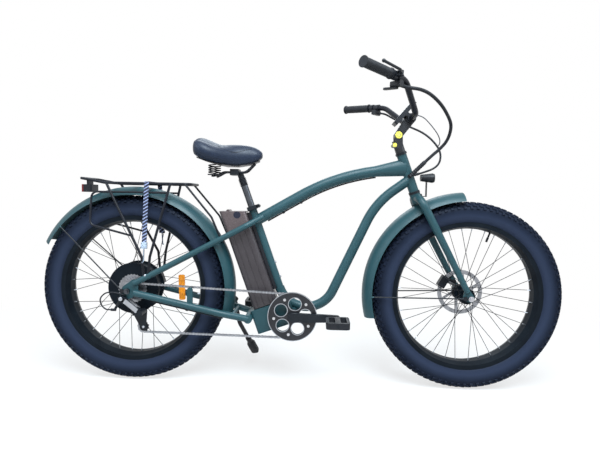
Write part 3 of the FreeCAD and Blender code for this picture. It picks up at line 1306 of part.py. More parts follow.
def perch():
    body = rod(V(-PERCH_INSET - PERCH_HALF_WIDTH, 0, 0), V(-PERCH_INSET + PERCH_HALF_WIDTH, 0, 0),
               PERCH_RADIUS)
    half = LEVER_HALF_HEIGHT + CLEARANCE + PERCH_EAR
    web_end = PERCH_REACH - LEVER_EYE_RADIUS - PERCH_EAR
    web = Part.makeBox(2 * PERCH_HALF_WIDTH, 2 * half, web_end,
                       V(-PERCH_INSET - PERCH_HALF_WIDTH, -half, 0))
    pieces = [body, web]
    for side in SIDES:
        inner = side * (half - PERCH_EAR)
        root = V(-PERCH_INSET, 0, PERCH_RADIUS - LEVER_EYE_RADIUS)
        pieces.append(plate([(root, LEVER_EYE_RADIUS), (LEVER_PIVOT, LEVER_EYE_RADIUS)], inner, side * half))
    pieces.append(cross_rod(LEVER_PIVOT, -half, half, LEVER_PIVOT_RADIUS))
    bar = rod(V(-2 * POD_INSET, 0, 0), V(GRIP_LENGTH, 0, 0), BAR_RADIUS)
    return fused(pieces).cut(bar)


def brake_lever():
    eye = cross_rod(LEVER_PIVOT, -LEVER_HALF_HEIGHT, LEVER_HALF_HEIGHT, LEVER_EYE_RADIUS)
    elbow = V(LEVER_ELBOW_OUT - PERCH_INSET, 0, LEVER_ELBOW_REACH)
    tip = V(LEVER_TIP_OUT - PERCH_INSET, 0, LEVER_TIP_REACH)
    blade = tube([LEVER_PIVOT, elbow, tip], [LEVER_ELBOW_BEND], LEVER_BLADE_RADIUS)
    ball = Part.makeSphere(LEVER_BALL_RADIUS, tip)
    hole = cross_rod(LEVER_PIVOT, -2 * LEVER_HALF_HEIGHT, 2 * LEVER_HALF_HEIGHT,
                     LEVER_PIVOT_RADIUS + RUNNING_FIT)
    return on_bar(fused([eye, blade, ball]).cut(hole))


PADDLE_PIVOT = V(-POD_INSET, 0, -PADDLE_SETBACK)


def pod(with_paddle):
    clamp = rod(V(-POD_INSET - POD_HALF_WIDTH, 0, 0), V(-POD_INSET + POD_HALF_WIDTH, 0, 0), POD_RING_RADIUS)
    low = POD_RING_RADIUS + POD_HEIGHT
    middle = V(-POD_INSET, (low + BAR_RADIUS) / 2, -PADDLE_SETBACK)
    housing = block(middle, X_AXIS, Z_AXIS, 2 * POD_HALF_WIDTH, low - BAR_RADIUS, POD_DEPTH, POD_CORNER)
    pieces = [clamp, housing]
    if with_paddle:
        pieces.append(cross_rod(PADDLE_PIVOT, low, low + CLEARANCE + PADDLE_THICKNESS, PADDLE_AXLE_RADIUS))
    bar = rod(V(-2 * POD_INSET, 0, 0), V(GRIP_LENGTH, 0, 0), BAR_RADIUS)
    return fused(pieces).cut(bar)


def shift_paddle():
    low = POD_RING_RADIUS + POD_HEIGHT + CLEARANCE
    tip = PADDLE_PIVOT + V(PADDLE_OUT, 0, -PADDLE_REACH)
    body = plate([(PADDLE_PIVOT, PADDLE_EYE_RADIUS), (tip, PADDLE_TIP_RADIUS)], low, low + PADDLE_THICKNESS)
    return on_bar(body.cut(cross_rod(PADDLE_PIVOT, 0, 2 * low, PADDLE_AXLE_RADIUS + RUNNING_FIT)))


def display():
    along = slope(DISPLAY_LEAN)
    face = slope(DISPLAY_LEAN + math.pi / 2)
    centre = BAR_CENTRE + face * (DISPLAY_STANDOFF + DISPLAY_THICKNESS / 2)
    pieces = [block(centre, along, face, DISPLAY_LENGTH, DISPLAY_WIDTH, DISPLAY_THICKNESS, DISPLAY_CORNER)]
    for side in SIDES:
        near = side * (DISPLAY_RING_SIDE - DISPLAY_RING_HALF)
        far = side * (DISPLAY_RING_SIDE + DISPLAY_RING_HALF)
        pieces.append(cross_rod(BAR_CENTRE, near, far, DISPLAY_RING_RADIUS))
        post = BAR_CENTRE + face * ((DISPLAY_STANDOFF + BAR_RADIUS) / 2) + Y_AXIS * (side * DISPLAY_RING_SIDE)
        pieces.append(block(post, along, face, DISPLAY_RING_RADIUS, 2 * DISPLAY_RING_HALF,
                            DISPLAY_STANDOFF - BAR_RADIUS + SEATING, DISPLAY_RING_HALF / 2))
    return fused(pieces).cut(cross_rod(BAR_CENTRE, -DISPLAY_WIDTH, DISPLAY_WIDTH, BAR_RADIUS))


def bar_controls():
    right_perch = on_bar(perch())
    left_pod = mirrored(on_bar(pod(False)))
    return group([right_perch, mirrored(right_perch), on_bar(pod(True)), left_pod, display()])


def headlight():
    lamp_back = steer(CROWN_TOP + LAMP_RISE, CROWN_RADIUS + LAMP_REACH)
    body = cone(lamp_back, lamp_back + X_AXIS * LAMP_LENGTH, LAMP_BACK_RADIUS, LAMP_RADIUS)
    lens = rod(lamp_back + X_AXIS * LAMP_LENGTH, lamp_back + X_AXIS * (LAMP_LENGTH + LAMP_LENS),
               LAMP_LENS_RADIUS)
    root = steer(CROWN_MIDDLE, CROWN_RADIUS + SEATING + LAMP_BRACKET_THICKNESS / 2)
    top = lamp_back + X_AXIS * (LAMP_LENGTH / 2)
    knee = V(top.x, 0, root.z)
    half = LAMP_BRACKET_THICKNESS / 2
    foot_up = steer(CROWN_MIDDLE + CROWN_HEIGHT / 4, CROWN_RADIUS + SEATING + half)
    foot = plate([(root, half), (foot_up, half)], -LAMP_BRACKET_WIDTH / 2, LAMP_BRACKET_WIDTH / 2)
    shelf = plate([(root, half), (knee, half)], -LAMP_BRACKET_WIDTH / 2, LAMP_BRACKET_WIDTH / 2)
    riser = plate([(knee, half), (top, half)], -LAMP_BRACKET_WIDTH / 2, LAMP_BRACKET_WIDTH / 2)
    return group([fused([body, foot, shelf, riser]), lens])


# Fenders
def fender_shell(axle, start, end):
    def place(side, radius):
        return axle + V(radius, side, 0)

    inner_crown = FENDER_CROWN_RADIUS - FENDER_THICKNESS
    inner_half = FENDER_HALF_WIDTH - FENDER_THICKNESS
    outside = Part.Arc(place(-FENDER_HALF_WIDTH, FENDER_EDGE_RADIUS), place(0, FENDER_CROWN_RADIUS),
                       place(FENDER_HALF_WIDTH, FENDER_EDGE_RADIUS))
    inside = Part.Arc(place(inner_half, FENDER_EDGE_RADIUS), place(0, inner_crown),
                      place(-inner_half, FENDER_EDGE_RADIUS))
    lips = [Part.LineSegment(place(FENDER_HALF_WIDTH, FENDER_EDGE_RADIUS),
                             place(inner_half, FENDER_EDGE_RADIUS)),
            Part.LineSegment(place(-inner_half, FENDER_EDGE_RADIUS),
                             place(-FENDER_HALF_WIDTH, FENDER_EDGE_RADIUS))]
    wire = Part.Wire([outside.toShape(), lips[0].toShape(), inside.toShape(), lips[1].toShape()])
    face = Part.Face(wire)
    face.rotate(axle, Y_AXIS, -start)
    return face.revolve(axle, Y_AXIS * -1, end - start)


def fender_wire(axle, angle, side, eye_side):
    start = polar(axle, FENDER_EDGE_RADIUS + FENDER_WIRE_RADIUS, angle,
                  side * (FENDER_HALF_WIDTH + FENDER_WIRE_RADIUS + SEATING))
    eye = axle - X_AXIS * WIRE_EYE_BACK
    inner = side * (eye_side + SEATING)
    outer = side * (eye_side + SEATING + WIRE_EYE_THICKNESS)
    washer = cross_rod(eye, inner, outer, WIRE_EYE_RADIUS)
    return fused([washer, rod(start, eye + Y_AXIS * ((inner + outer) / 2), FENDER_WIRE_RADIUS)])


def rear_fender():
    eye_side = DROPOUT_INNER_SIDE + DROPOUT_THICKNESS
    wires = [fender_wire(REAR_AXLE, REAR_WIRE_ANGLE, side, eye_side) for side in SIDES]
    return group([fender_shell(REAR_AXLE, REAR_FENDER_START, REAR_FENDER_END)] + wires)


def front_fender():
    eye_side = FRONT_DROPOUT_SIDE + FORK_TIP_THICKNESS
    wires = [fender_wire(FRONT_AXLE, FRONT_WIRE_ANGLE, side, eye_side) for side in SIDES]
    low = line_at_radius(steer(CROWN_BOTTOM), steer(0), FRONT_AXLE, FENDER_CROWN_RADIUS - FENDER_THICKNESS)
    post = rod(low, steer(CROWN_BOTTOM - SEATING), FENDER_POST_RADIUS)
    return group([fused([fender_shell(FRONT_AXLE, FRONT_FENDER_START, FRONT_FENDER_END), post])] + wires)


# Brakes
def caliper_body(axle, angle, side):
    centre = polar(axle, ROTOR_RADIUS - CALIPER_INSET, angle, side)
    radial = slope(math.radians(angle))
    tangent = radial.cross(Y_AXIS)
    body = block(centre, tangent, radial, CALIPER_LENGTH, 2 * CALIPER_HALF_WIDTH, CALIPER_HEIGHT,
                 CALIPER_CORNER)
    slot = cross_rod(axle, side - CALIPER_SLOT / 2, side + CALIPER_SLOT / 2, ROTOR_RADIUS + OVERRUN)
    return body, slot, V(centre.x, 0, centre.z)


def front_caliper(fork_body):
    body, slot, centre = caliper_body(FRONT_AXLE, FRONT_CALIPER_ANGLE, FRONT_ROTOR_SIDE)
    shoulder, end = leg_points(LEFT)
    share = (shoulder.z - centre.z) / (shoulder.z - end.z)
    leg = shoulder + (end - shoulder) * share
    outer = FRONT_ROTOR_SIDE + CALIPER_HALF_WIDTH
    arm = plate([(centre, CALIPER_ARM_RADIUS), (V(leg.x, 0, leg.z), CALIPER_ARM_RADIUS)],
                outer - CALIPER_ARM_THICKNESS, outer)
    return fused([body, arm]).cut(slot).cut(fork_body)


def rear_caliper(stays):
    body, slot, centre = caliper_body(REAR_AXLE, REAR_CALIPER_ANGLE, REAR_ROTOR_SIDE)
    mount = REAR_AXLE + V(SEAT_STAY_END_AHEAD, 0, (SEAT_STAY_END_RISE - CHAIN_STAY_END_DROP) / 2)
    inner = REAR_ROTOR_SIDE + CALIPER_HALF_WIDTH - CALIPER_ARM_THICKNESS
    arm = plate([(mount, CALIPER_ARM_RADIUS), (centre, CALIPER_ARM_RADIUS)], inner, DROPOUT_INNER_SIDE)
    return fused([body, arm]).cut(slot).cut(stays)


# Rack, tail light and strap
def rack_place(behind, side, height):
    return V(REAR_AXLE.x - behind, side, height)


def rear_rack(stays):
    half = RACK_HALF_WIDTH
    tail = RACK_HEIGHT + RACK_TAIL_RISE
    deck = [rack_place(RACK_REAR_BEHIND, -half, tail), rack_place(RACK_KNEE_BEHIND, -half, RACK_HEIGHT),
            rack_place(-RACK_FRONT_AHEAD, -half, RACK_HEIGHT),
            rack_place(-RACK_FRONT_AHEAD, half, RACK_HEIGHT),
            rack_place(RACK_KNEE_BEHIND, half, RACK_HEIGHT), rack_place(RACK_REAR_BEHIND, half, tail)]
    pieces = [tube(deck, [RACK_TAIL_BEND, RACK_CORNER, RACK_CORNER, RACK_TAIL_BEND], RACK_RADIUS)]
    pieces.append(rod(deck[0], deck[-1], RACK_RADIUS))
    for index in range(RACK_SLATS):
        place = deck[2] + (deck[1] - deck[2]) * ((index + 1) / RACK_SLATS)
        pieces.append(rod(place, place + Y_AXIS * (2 * half), RACK_SLAT_RADIUS))
    foot_height = TYRE_RADIUS + RACK_FOOT_RISE
    for side in SIDES:
        legs = []
        for behind, shift in ((RACK_REAR_LEG_BEHIND, RACK_FOOT_SPREAD),
                              (-RACK_FRONT_LEG_AHEAD, -RACK_FOOT_SPREAD)):
            top = rack_place(behind, side * half, RACK_HEIGHT)
            knee = rack_place(shift - RACK_FOOT_AHEAD, side * RACK_LEG_SIDE, foot_height)
            foot = rack_place(shift / 2 - RACK_FOOT_AHEAD, side * RACK_LEG_SIDE,
                              foot_height - RACK_FOOT_LENGTH)
            legs.append((top, knee))
            pieces.append(tube([top, knee, foot], [RACK_LEG_BEND], RACK_RADIUS))
        (rear_top, rear_knee), (front_top, front_knee) = legs
        high = rear_top + (rear_knee - rear_top) * RACK_LOOP_HIGH_SHARE
        low = rear_top + (rear_knee - rear_top) * RACK_LOOP_LOW_SHARE
        ahead = front_top + (front_knee - front_top) * RACK_LOOP_HIGH_SHARE
        pieces.append(rod(high, ahead, RACK_LOOP_RADIUS))
        back_high = rack_place(RACK_LOOP_BEHIND, high.y, high.z)
        back_low = rack_place(RACK_LOOP_BEHIND, low.y, low.z + RACK_LOOP_LIFT)
        pieces.append(tube([high, back_high, back_low, low], [RACK_LOOP_BEND, RACK_LOOP_BEND],
                           RACK_LOOP_RADIUS))
        root, stay_knee, stay_end = seat_stay_points(side)
        stay = stay_knee + (stay_end - stay_knee) * RACK_STRUT_SHARE
        strut_knee = stay + V(-RACK_STRUT_BACK, 0, (RACK_HEIGHT - stay.z) * RACK_STRUT_RISE_SHARE)
        strut_top = rack_place(-RACK_STRUT_AHEAD, side * half, RACK_HEIGHT)
        pieces.append(tube([strut_top, strut_knee, stay], [RACK_STRUT_BEND], RACK_STRUT_RADIUS))
    return fused(pieces).cut(stays)


def tail_light(rack):
    centre = rack_place(RACK_REAR_BEHIND, 0, RACK_HEIGHT - TAIL_DROP - TAIL_HEIGHT / 2)
    lamp = block(centre, X_AXIS, Z_AXIS, TAIL_LENGTH, 2 * TAIL_HALF_WIDTH, TAIL_HEIGHT, TAIL_CORNER)
    bar_height = RACK_HEIGHT + RACK_TAIL_RISE
    hanger = Part.makeBox(2 * RACK_RADIUS, TAIL_HALF_WIDTH, bar_height - centre.z,
                          V(centre.x - RACK_RADIUS, -TAIL_HALF_WIDTH / 2, centre.z))
    return fused([lamp, hanger]).cut(rack)


def luggage_strap():
    bend = RACK_RADIUS + STRAP_THICKNESS / 2 + CLEARANCE
    top = RACK_HEIGHT + bend
    edge = RACK_HALF_WIDTH + bend
    place = REAR_AXLE.x + STRAP_AHEAD
    points = [V(place, -STRAP_SIDE, RACK_HEIGHT - STRAP_HANG), V(place, -edge, top), V(place, edge, top),
              V(place, STRAP_SIDE, RACK_HEIGHT - STRAP_FAR_HANG)]
    wire = rounded_wire(points, [bend, bend])
    first = wire.Edges[0]
    run = first.tangentAt(first.FirstParameter)
    thick = run.cross(X_AXIS) * (STRAP_THICKNESS / 2)
    wide = X_AXIS * STRAP_HALF_WIDTH
    corners = [points[0] + wide + thick, points[0] - wide + thick, points[0] - wide - thick,
               points[0] + wide - thick]
    web = wire.makePipeShell([Part.makePolygon(corners + corners[:1])], True, False)
    pieces = [web]
    for end, inner in ((points[0], points[1]), (points[3], points[2])):
        down = unit(end - inner)
        out = Y_AXIS * (1 if end.y > 0 else -1)
        buckle = block(end + down * (STRAP_END_HEIGHT / 2), X_AXIS, down * -1, 2 * STRAP_END_HALF_WIDTH,
                       STRAP_END_THICKNESS, STRAP_END_HEIGHT, STRAP_END_THICKNESS / 4)
        start = end + down * STRAP_END_HEIGHT
        knee = start + down * STRAP_HOOK_LENGTH
        hook = tube([start, knee, knee + out * STRAP_HOOK_TIP], [STRAP_HOOK_BEND], STRAP_HOOK_RADIUS)
        pieces.append(fused([buckle, hook]))
    return group(pieces)


# Battery and rail
def battery_rail():
    rear = BATTERY_FRONT - SEATING
    middle = seat((RAIL_FOOT + RAIL_TOP) / 2, -rear / 2)
    bar = block(middle, SEAT_FORWARD, SEAT_UP, rear, 2 * RAIL_HALF_WIDTH, RAIL_TOP - RAIL_FOOT, RAIL_EDGE)
    return bar


def battery_pack():
    height = BATTERY_REAR_TOP - BATTERY_FOOT
    middle_ahead = -BATTERY_FRONT - BATTERY_DEPTH / 2
    centre = seat(BATTERY_FOOT + height / 2, middle_ahead)
    body = block(centre, SEAT_FORWARD, SEAT_UP, BATTERY_DEPTH, 2 * BATTERY_HALF_WIDTH, height, BATTERY_CORNER)
    slant = unit(seat(BATTERY_FRONT_TOP, -BATTERY_FRONT) - seat(BATTERY_REAR_TOP,
                                                                -BATTERY_FRONT - BATTERY_DEPTH))
    lid_up = slant.cross(Y_AXIS)
    high = seat(BATTERY_REAR_TOP, -BATTERY_FRONT - BATTERY_DEPTH)
    trim = block(high + slant * (BATTERY_DEPTH / 2) + lid_up * (BATTERY_DEPTH / 2), slant, lid_up,
                 2 * BATTERY_DEPTH,
                 4 * BATTERY_HALF_WIDTH, BATTERY_DEPTH, BATTERY_GROOVE_DEPTH)
    body = body.cut(trim)
    seam_at = BATTERY_FRONT_TOP - BATTERY_CAP_LENGTH
    seam_place = seat(seam_at, middle_ahead)
    core = block(seam_place, SEAT_FORWARD, SEAT_UP, BATTERY_DEPTH - 2 * BATTERY_CAP_SEAM,
                 2 * (BATTERY_HALF_WIDTH - BATTERY_CAP_SEAM), BATTERY_CAP_SEAM, BATTERY_CORNER)
    band = block(seam_place, SEAT_FORWARD, SEAT_UP, BATTERY_DEPTH + OVERRUN, 2 * BATTERY_HALF_WIDTH + OVERRUN,
                 BATTERY_CAP_SEAM, BATTERY_CORNER)
    body = body.cut(band.cut(core))
    groove_top = seam_at - 2 * BATTERY_GROOVE_WIDTH
    for side in SIDES:
        for index in range(BATTERY_GROOVES):
            ahead = -BATTERY_FRONT - BATTERY_DEPTH * (index + 1) / (BATTERY_GROOVES + 1)
            place = seat((BATTERY_FOOT + groove_top) / 2, ahead, side * BATTERY_HALF_WIDTH)
            groove = block(place, SEAT_FORWARD, SEAT_UP, BATTERY_GROOVE_WIDTH, 2 * BATTERY_GROOVE_DEPTH,
                           groove_top - BATTERY_FOOT + OVERRUN, BATTERY_GROOVE_DEPTH / 2)
            body = body.cut(groove)
    lid = high + slant * BATTERY_HANDLE_AT
    handle = cross_rod(lid, -BATTERY_HANDLE_HALF, BATTERY_HANDLE_HALF, BATTERY_HANDLE_RADIUS)
    return fused([body, handle])


# Seat post and saddle
EAR_PLACE = seat(SEAT_TUBE_TOP - COLLAR_HEIGHT / 2, COLLAR_EAR_AHEAD)
RELEASE_PIVOT = EAR_PLACE - Y_AXIS * RELEASE_SIDE


def release_pin(radius, half):
    return rod(RELEASE_PIVOT - SEAT_UP * half, RELEASE_PIVOT + SEAT_UP * half, radius)


def seat_collar():
    ears = [cross_rod(EAR_PLACE, side * COLLAR_SLOT_HALF, side * COLLAR_EAR_HALF, COLLAR_EAR_RADIUS)
            for side in SIDES]
    body = fused([rod(seat(SEAT_TUBE_TOP - COLLAR_HEIGHT), seat(SEAT_TUBE_TOP), COLLAR_RADIUS)] + ears)
    bore = cross_rod(EAR_PLACE, -RELEASE_SIDE, RELEASE_SIDE, SKEWER_RADIUS + RUNNING_FIT)
    washer_end = RELEASE_SIDE - RELEASE_EYE_RADIUS - CLEARANCE
    nut_end = COLLAR_EAR_HALF + SKEWER_NUT_HEIGHT
    skewer = fused([cross_rod(EAR_PLACE, -RELEASE_SIDE, nut_end, SKEWER_RADIUS),
                    cross_rod(EAR_PLACE, COLLAR_EAR_HALF, nut_end, CUP_WASHER_RADIUS),
                    cross_rod(EAR_PLACE, -washer_end, -COLLAR_EAR_HALF, CUP_WASHER_RADIUS),
                    release_pin(RELEASE_PIN_RADIUS, RELEASE_HALF_HEIGHT)])
    return group([body.cut(seat_tube_body()).cut(bore), skewer])


def seat_quick_release():
    eye = release_pin(RELEASE_EYE_RADIUS, RELEASE_HALF_HEIGHT)
    blade = block(RELEASE_PIVOT - SEAT_FORWARD * (RELEASE_LENGTH / 2), SEAT_FORWARD, SEAT_UP, RELEASE_LENGTH,
                  RELEASE_THICKNESS, 2 * RELEASE_HALF_HEIGHT, RELEASE_EDGE)
    slot = release_pin(RELEASE_EYE_RADIUS + CLEARANCE, SKEWER_RADIUS + CLEARANCE)
    hole = release_pin(RELEASE_PIN_RADIUS + RUNNING_FIT, 2 * RELEASE_HALF_HEIGHT)
    return fused([eye, blade]).cut(slot).cut(hole)


def seat_post():
    body = rod(seat(POST_FOOT), seat(POST_TOP), POST_RADIUS)
    return body.cut(rod(seat(SLIDER_FOOT - BOOT_LENGTH), seat(POST_TOP + OVERRUN),
                        SLIDER_RADIUS + RUNNING_FIT))


def seat_post_boot():
    step = (BOOT_LENGTH - 2 * SEATING) / BOOT_RIBS
    circles = []
    for rib in range(BOOT_RIBS):
        for place_share, radius in zip(RIB_PLACE_SHARES,
                                       (BOOT_ROOT_RADIUS, BOOT_CREST_RADIUS, BOOT_CREST_RADIUS,
                                                          BOOT_ROOT_RADIUS)):
            height = step * (rib + place_share)
            circles.append(Part.Wire(Part.makeCircle(radius, V(0, 0, height), Z_AXIS)))
    body = Part.makeLoft(circles, True, True)
    body = body.cut(Part.makeCylinder(BOOT_BORE, BOOT_LENGTH + OVERRUN, V(0, 0, -OVERRUN / 2)))
    body.Placement = FreeCAD.Placement(seat(POST_TOP + SEATING),
                                       FreeCAD.Rotation(SEAT_FORWARD, Y_AXIS, SEAT_UP))
    return body


def saddle_station(share):
    return -SADDLE_NOSE_BEHIND - SADDLE_LENGTH * (1 - share)


def seat_post_head(rails):
    base = POST_TOP + BOOT_LENGTH
    slider = rod(seat(SLIDER_FOOT), seat(base), SLIDER_RADIUS)
    head = rod(seat(base), seat(base + HEAD_HEIGHT), HEAD_RADIUS)
    jaw_place = V(-CLAMP_BEHIND, 0, RAIL_HEIGHT)
    jaw = block(jaw_place, X_AXIS, Z_AXIS, 2 * CLAMP_HALF_LENGTH, 2 * CLAMP_HALF_WIDTH, 2 * CLAMP_HALF_HEIGHT,
                CLAMP_EDGE)
    return fused([slider, head, jaw]).cut(rails)


def saddle_section(index):
    station = saddle_station(SADDLE_STATION_SHARES[index])
    half = SADDLE_HALF_WIDTH * SADDLE_WIDTH_SHARES[index]
    top = SADDLE_FLOOR + SADDLE_DEPTH * SADDLE_TOP_SHARES[index]
    low = SADDLE_FLOOR + SADDLE_DEPTH * SADDLE_LOW_SHARES[index]
    side = low + (top - low) * SADDLE_SIDE_SHARE
    crease = low + (top - low) * SADDLE_CROWN_SHARE
    foot = half * SADDLE_FOOT_SHARE
    edge = half * SADDLE_CREASE_SHARE
    left_foot = V(station, foot, low)
    right_foot = V(station, -foot, low)
    left_edge = V(station, edge, crease)
    right_edge = V(station, -edge, crease)
    return Part.Wire([
        Part.LineSegment(left_foot, right_foot).toShape(),
        Part.Arc(right_foot, V(station, -half, side), right_edge).toShape(),
        Part.Arc(right_edge, V(station, 0, top), left_edge).toShape(),
        Part.Arc(left_edge, V(station, half, side), left_foot).toShape(),
    ])


def saddle_cover():
    return Part.makeLoft([saddle_section(index) for index in range(len(SADDLE_STATION_SHARES))], True)


def pan_section(index):
    station = saddle_station(SADDLE_STATION_SHARES[index])
    half = SADDLE_HALF_WIDTH * SADDLE_WIDTH_SHARES[index] * PAN_WIDTH_SHARE
    high = SADDLE_FLOOR + SADDLE_DEPTH * SADDLE_LOW_SHARES[index] - PAN_DROP
    low = high - PAN_THICKNESS
    return Part.makePolygon([V(station, half, high), V(station, -half, high), V(station, -half, low),
                             V(station, half, low), V(station, half, high)])


def saddle_pan(cover):
    sections = [pan_section(index) for index, share in enumerate(SADDLE_STATION_SHARES)
                if PAN_REAR_SHARE < share < PAN_FRONT_SHARE]
    return Part.makeLoft(sections, True, True).cut(cover)


def spring_places():
    return [V(-SPRING_BEHIND, side * SPRING_SIDE, SPRING_SEAT_HEIGHT) for side in SIDES]


def saddle_rails():
    dip = SPRING_SEAT_HEIGHT - SPRING_SEAT_THICKNESS - RAIL_WIRE_RADIUS + SEATING
    left = tube([V(-RAIL_NOSE_BEHIND, RAIL_NOSE_SIDE, RAIL_NOSE_HEIGHT),
                 V(-RAIL_KNEE_BEHIND, RAIL_SIDE, RAIL_HEIGHT),
                 V(-RAIL_REAR_BEHIND, RAIL_SIDE, RAIL_HEIGHT), V(-RAIL_DIP_BEHIND, RAIL_DIP_SIDE, dip),
                 V(-SPRING_BEHIND, SPRING_SIDE, dip)], [RAIL_BEND, RAIL_BEND, RAIL_BEND], RAIL_WIRE_RADIUS)
    return left, mirrored(left)


def saddle_frame(pan):
    low = SPRING_SEAT_HEIGHT - SPRING_SEAT_THICKNESS
    seats = [Part.makeCylinder(SPRING_SEAT_RADIUS, SPRING_SEAT_THICKNESS, V(place.x, place.y, low))
             for place in spring_places()]
    left, right = saddle_rails()
    cross = rod(V(-SPRING_BEHIND, -SPRING_SIDE, low + SPRING_SEAT_THICKNESS / 2),
                V(-SPRING_BEHIND, SPRING_SIDE, low + SPRING_SEAT_THICKNESS / 2), RAIL_WIRE_RADIUS / 2)
    return group([pan, fused([left, right, cross] + seats).cut(pan)])


def coil_point(angle, height, turns):
    return V(SPRING_RADIUS * math.cos(angle), SPRING_RADIUS * math.sin(angle),
             height * angle / (2 * math.pi * turns))


def coil_tangent(angle, height, turns):
    rise = height / (2 * math.pi * turns)
    return unit(V(-SPRING_RADIUS * math.sin(angle), SPRING_RADIUS * math.cos(angle), rise))


def arc_from(start, tangent, end):
    """Arc that leaves a point along a tangent and ends at another point."""
    chord = end - start
    away = unit(chord)
    lean = tangent - away * tangent.dot(away)
    sagitta = chord.Length / 2 * math.tan(tangent.getAngle(chord) / 2)
    return Part.Arc(start, (start + end) * 0.5 + unit(lean) * sagitta, end).toShape()


def biarc(start, start_tangent, end, end_tangent):
    """Two arcs that join smoothly between two points with given tangents."""
    gap = end - start
    both = start_tangent + end_tangent
    bend = 2 * (1 - start_tangent.dot(end_tangent))
    along = gap.dot(both)
    reach = (math.sqrt(along * along + bend * gap.dot(gap)) - along) / bend
    middle = (start + end + (start_tangent - end_tangent) * reach) * 0.5
    back = arc_from(end, end_tangent * -1, middle)
    return [arc_from(start, start_tangent, middle), Part.Arc(middle, back.valueAt(
        (back.FirstParameter + back.LastParameter) / 2), end).toShape()]


def coil_spring(place, height):
    quarters = 4 * SPRING_TURNS
    usable = height - 2 * (SPRING_WIRE_RADIUS + SEATING)
    edges = []
    for quarter in range(quarters):
        start = math.pi / 2 * quarter
        end = math.pi / 2 * (quarter + 1)
        edges += biarc(coil_point(start, usable, SPRING_TURNS), coil_tangent(start, usable, SPRING_TURNS),
                       coil_point(end, usable, SPRING_TURNS), coil_tangent(end, usable, SPRING_TURNS))
    path = Part.Wire(edges)
    points = path.discretize(SPRING_SAMPLES * SPRING_TURNS)
    gaps = [first.distanceToPoint(second) for index, first in enumerate(points)
            for second in points[index + SPRING_SAMPLES // 2:]]
    print("spring self gap", round(min(gaps) - 2 * SPRING_WIRE_RADIUS, 2))
    spring = pipe(path, SPRING_WIRE_RADIUS)
    spring.translate(place + Z_AXIS * (SPRING_WIRE_RADIUS + SEATING))
    return spring


def saddle_springs(pan):
    pieces = []
    for place in spring_places():
        probe = rod(place, place + Z_AXIS * SADDLE_DEPTH, SPRING_RADIUS + SPRING_WIRE_RADIUS)
        height = pan.common(probe).optimalBoundingBox(False).ZMin - place.z
        pieces.append(coil_spring(place, height))
    return group(pieces)


# Cables
def cable(points, radius):
    """Housing along hand-chosen points, with arcs as large as the runs allow."""
    radii = []
    for before, corner, after in zip(points, points[1:], points[2:]):
        half_turn = (math.pi - (before - corner).getAngle(after - corner)) / 2
        shorter = min(before.distanceToPoint(corner), after.distanceToPoint(corner))
        radii.append(CABLE_ARC_SHARE * shorter / math.tan(half_turn))
    print("cable radii", [round(value) for value in radii])
    return tube(points, radii, radius)


def clip(place, along, cable_body, tube_body):
    half = unit(along) * (CLIP_LENGTH / 2)
    return rod(place - half, place + half, CLIP_RADIUS).cut(cable_body).cut(tube_body)


def cable_port(side):
    """Round entry on the side of the head tube."""
    foot = steer(PORT_HEIGHT)
    outer = HEAD_TUBE_RADIUS + PORT_STANDOFF
    return cross_rod(foot, 0, side * outer, PORT_RADIUS).cut(head_tube_body(HEAD_TUBE_RADIUS))


def port_mouth(side, radius):
    """Place where a cable's middle line meets its port."""
    return steer(PORT_HEIGHT, 0, side * (HEAD_TUBE_RADIUS + PORT_STANDOFF + radius))


def shift_loop():
    """Points of the housing that loops from the rear end back to the derailleur's barrel."""
    return [REAR_AXLE + V(*share) * ROUTE_UNIT for share in SHIFT_LOOP_SHARES] + [BARREL_END]


def frame_cables(top, lower):
    drop = TOP_TUBE_RADIUS + HOUSING_RADIUS + SEATING
    rear = slope(TOP_TUBE_REAR_SLOPE)
    front = slope(TOP_TUBE_HEAD_SLOPE)
    start = TOP_TUBE_START + rear * (SEAT_TUBE_RADIUS + drop) - rear.cross(Y_AXIS) * drop
    end = TOP_TUBE_END - front * FLARE_LENGTH - front.cross(Y_AXIS) * drop
    brake = tube([start, meet(start, rear, end, front), end], [TOP_TUBE_BEND - drop], HOUSING_RADIUS)
    pieces = [brake]
    pieces += [clip(start + rear * (CLIP_REACH + CLIP_SPACING * index), rear, brake, top)
               for index in range(CLIPS)]
    knee = chain_stay_points(RIGHT)[1]
    far = chain_stay_at(SHIFT_CABLE_SHARE, RIGHT)
    low = unit((far - knee).cross(Y_AXIS)) * (CHAIN_STAY_RADIUS + HOUSING_RADIUS + SEATING)
    shift = rod(knee + low, far + low, HOUSING_RADIUS)
    pieces.append(shift)
    pieces.append(clip((knee + far) * 0.5 + low, far - knee, shift, lower))
    pieces += [cable_port(side).cut(top) for side in SIDES]
    pieces.append(cable(shift_loop(), HOUSING_RADIUS))
    return group(pieces)


def about_bar(shares):
    """Points of a cable, as shares of a unit about the bar clamp."""
    return [BAR_CENTRE + V(*share) * ROUTE_UNIT for share in shares]


def routed(side, shares, radius):
    """Points of a cable from a bar control to its port, by way of shares about the bar clamp."""
    face = GRIP_INNER - BAR_RUN * (POD_INSET + POD_HALF_WIDTH + SEATING) - BAR_UP * (POD_RING_RADIUS
                                                                                     + POD_HEIGHT / 2)
    lead = face - BAR_RUN * CABLE_LEAD
    ends = [V(place.x, -side * place.y, place.z) for place in (face, lead)]
    return ends + about_bar(shares) + [port_mouth(side, radius)]


def steering_cables():
    sleeve = cable(routed(RIGHT, SLEEVE_ROUTE_SHARES, SLEEVE_RADIUS), SLEEVE_RADIUS)
    lead = cable(routed(LEFT, LEFT_ROUTE_SHARES, LEAD_RADIUS), LEAD_RADIUS)
    display_lead = cable(about_bar(DISPLAY_ROUTE_SHARES), DISPLAY_LEAD_RADIUS).cut(display())
    return group([sleeve, lead, display_lead])


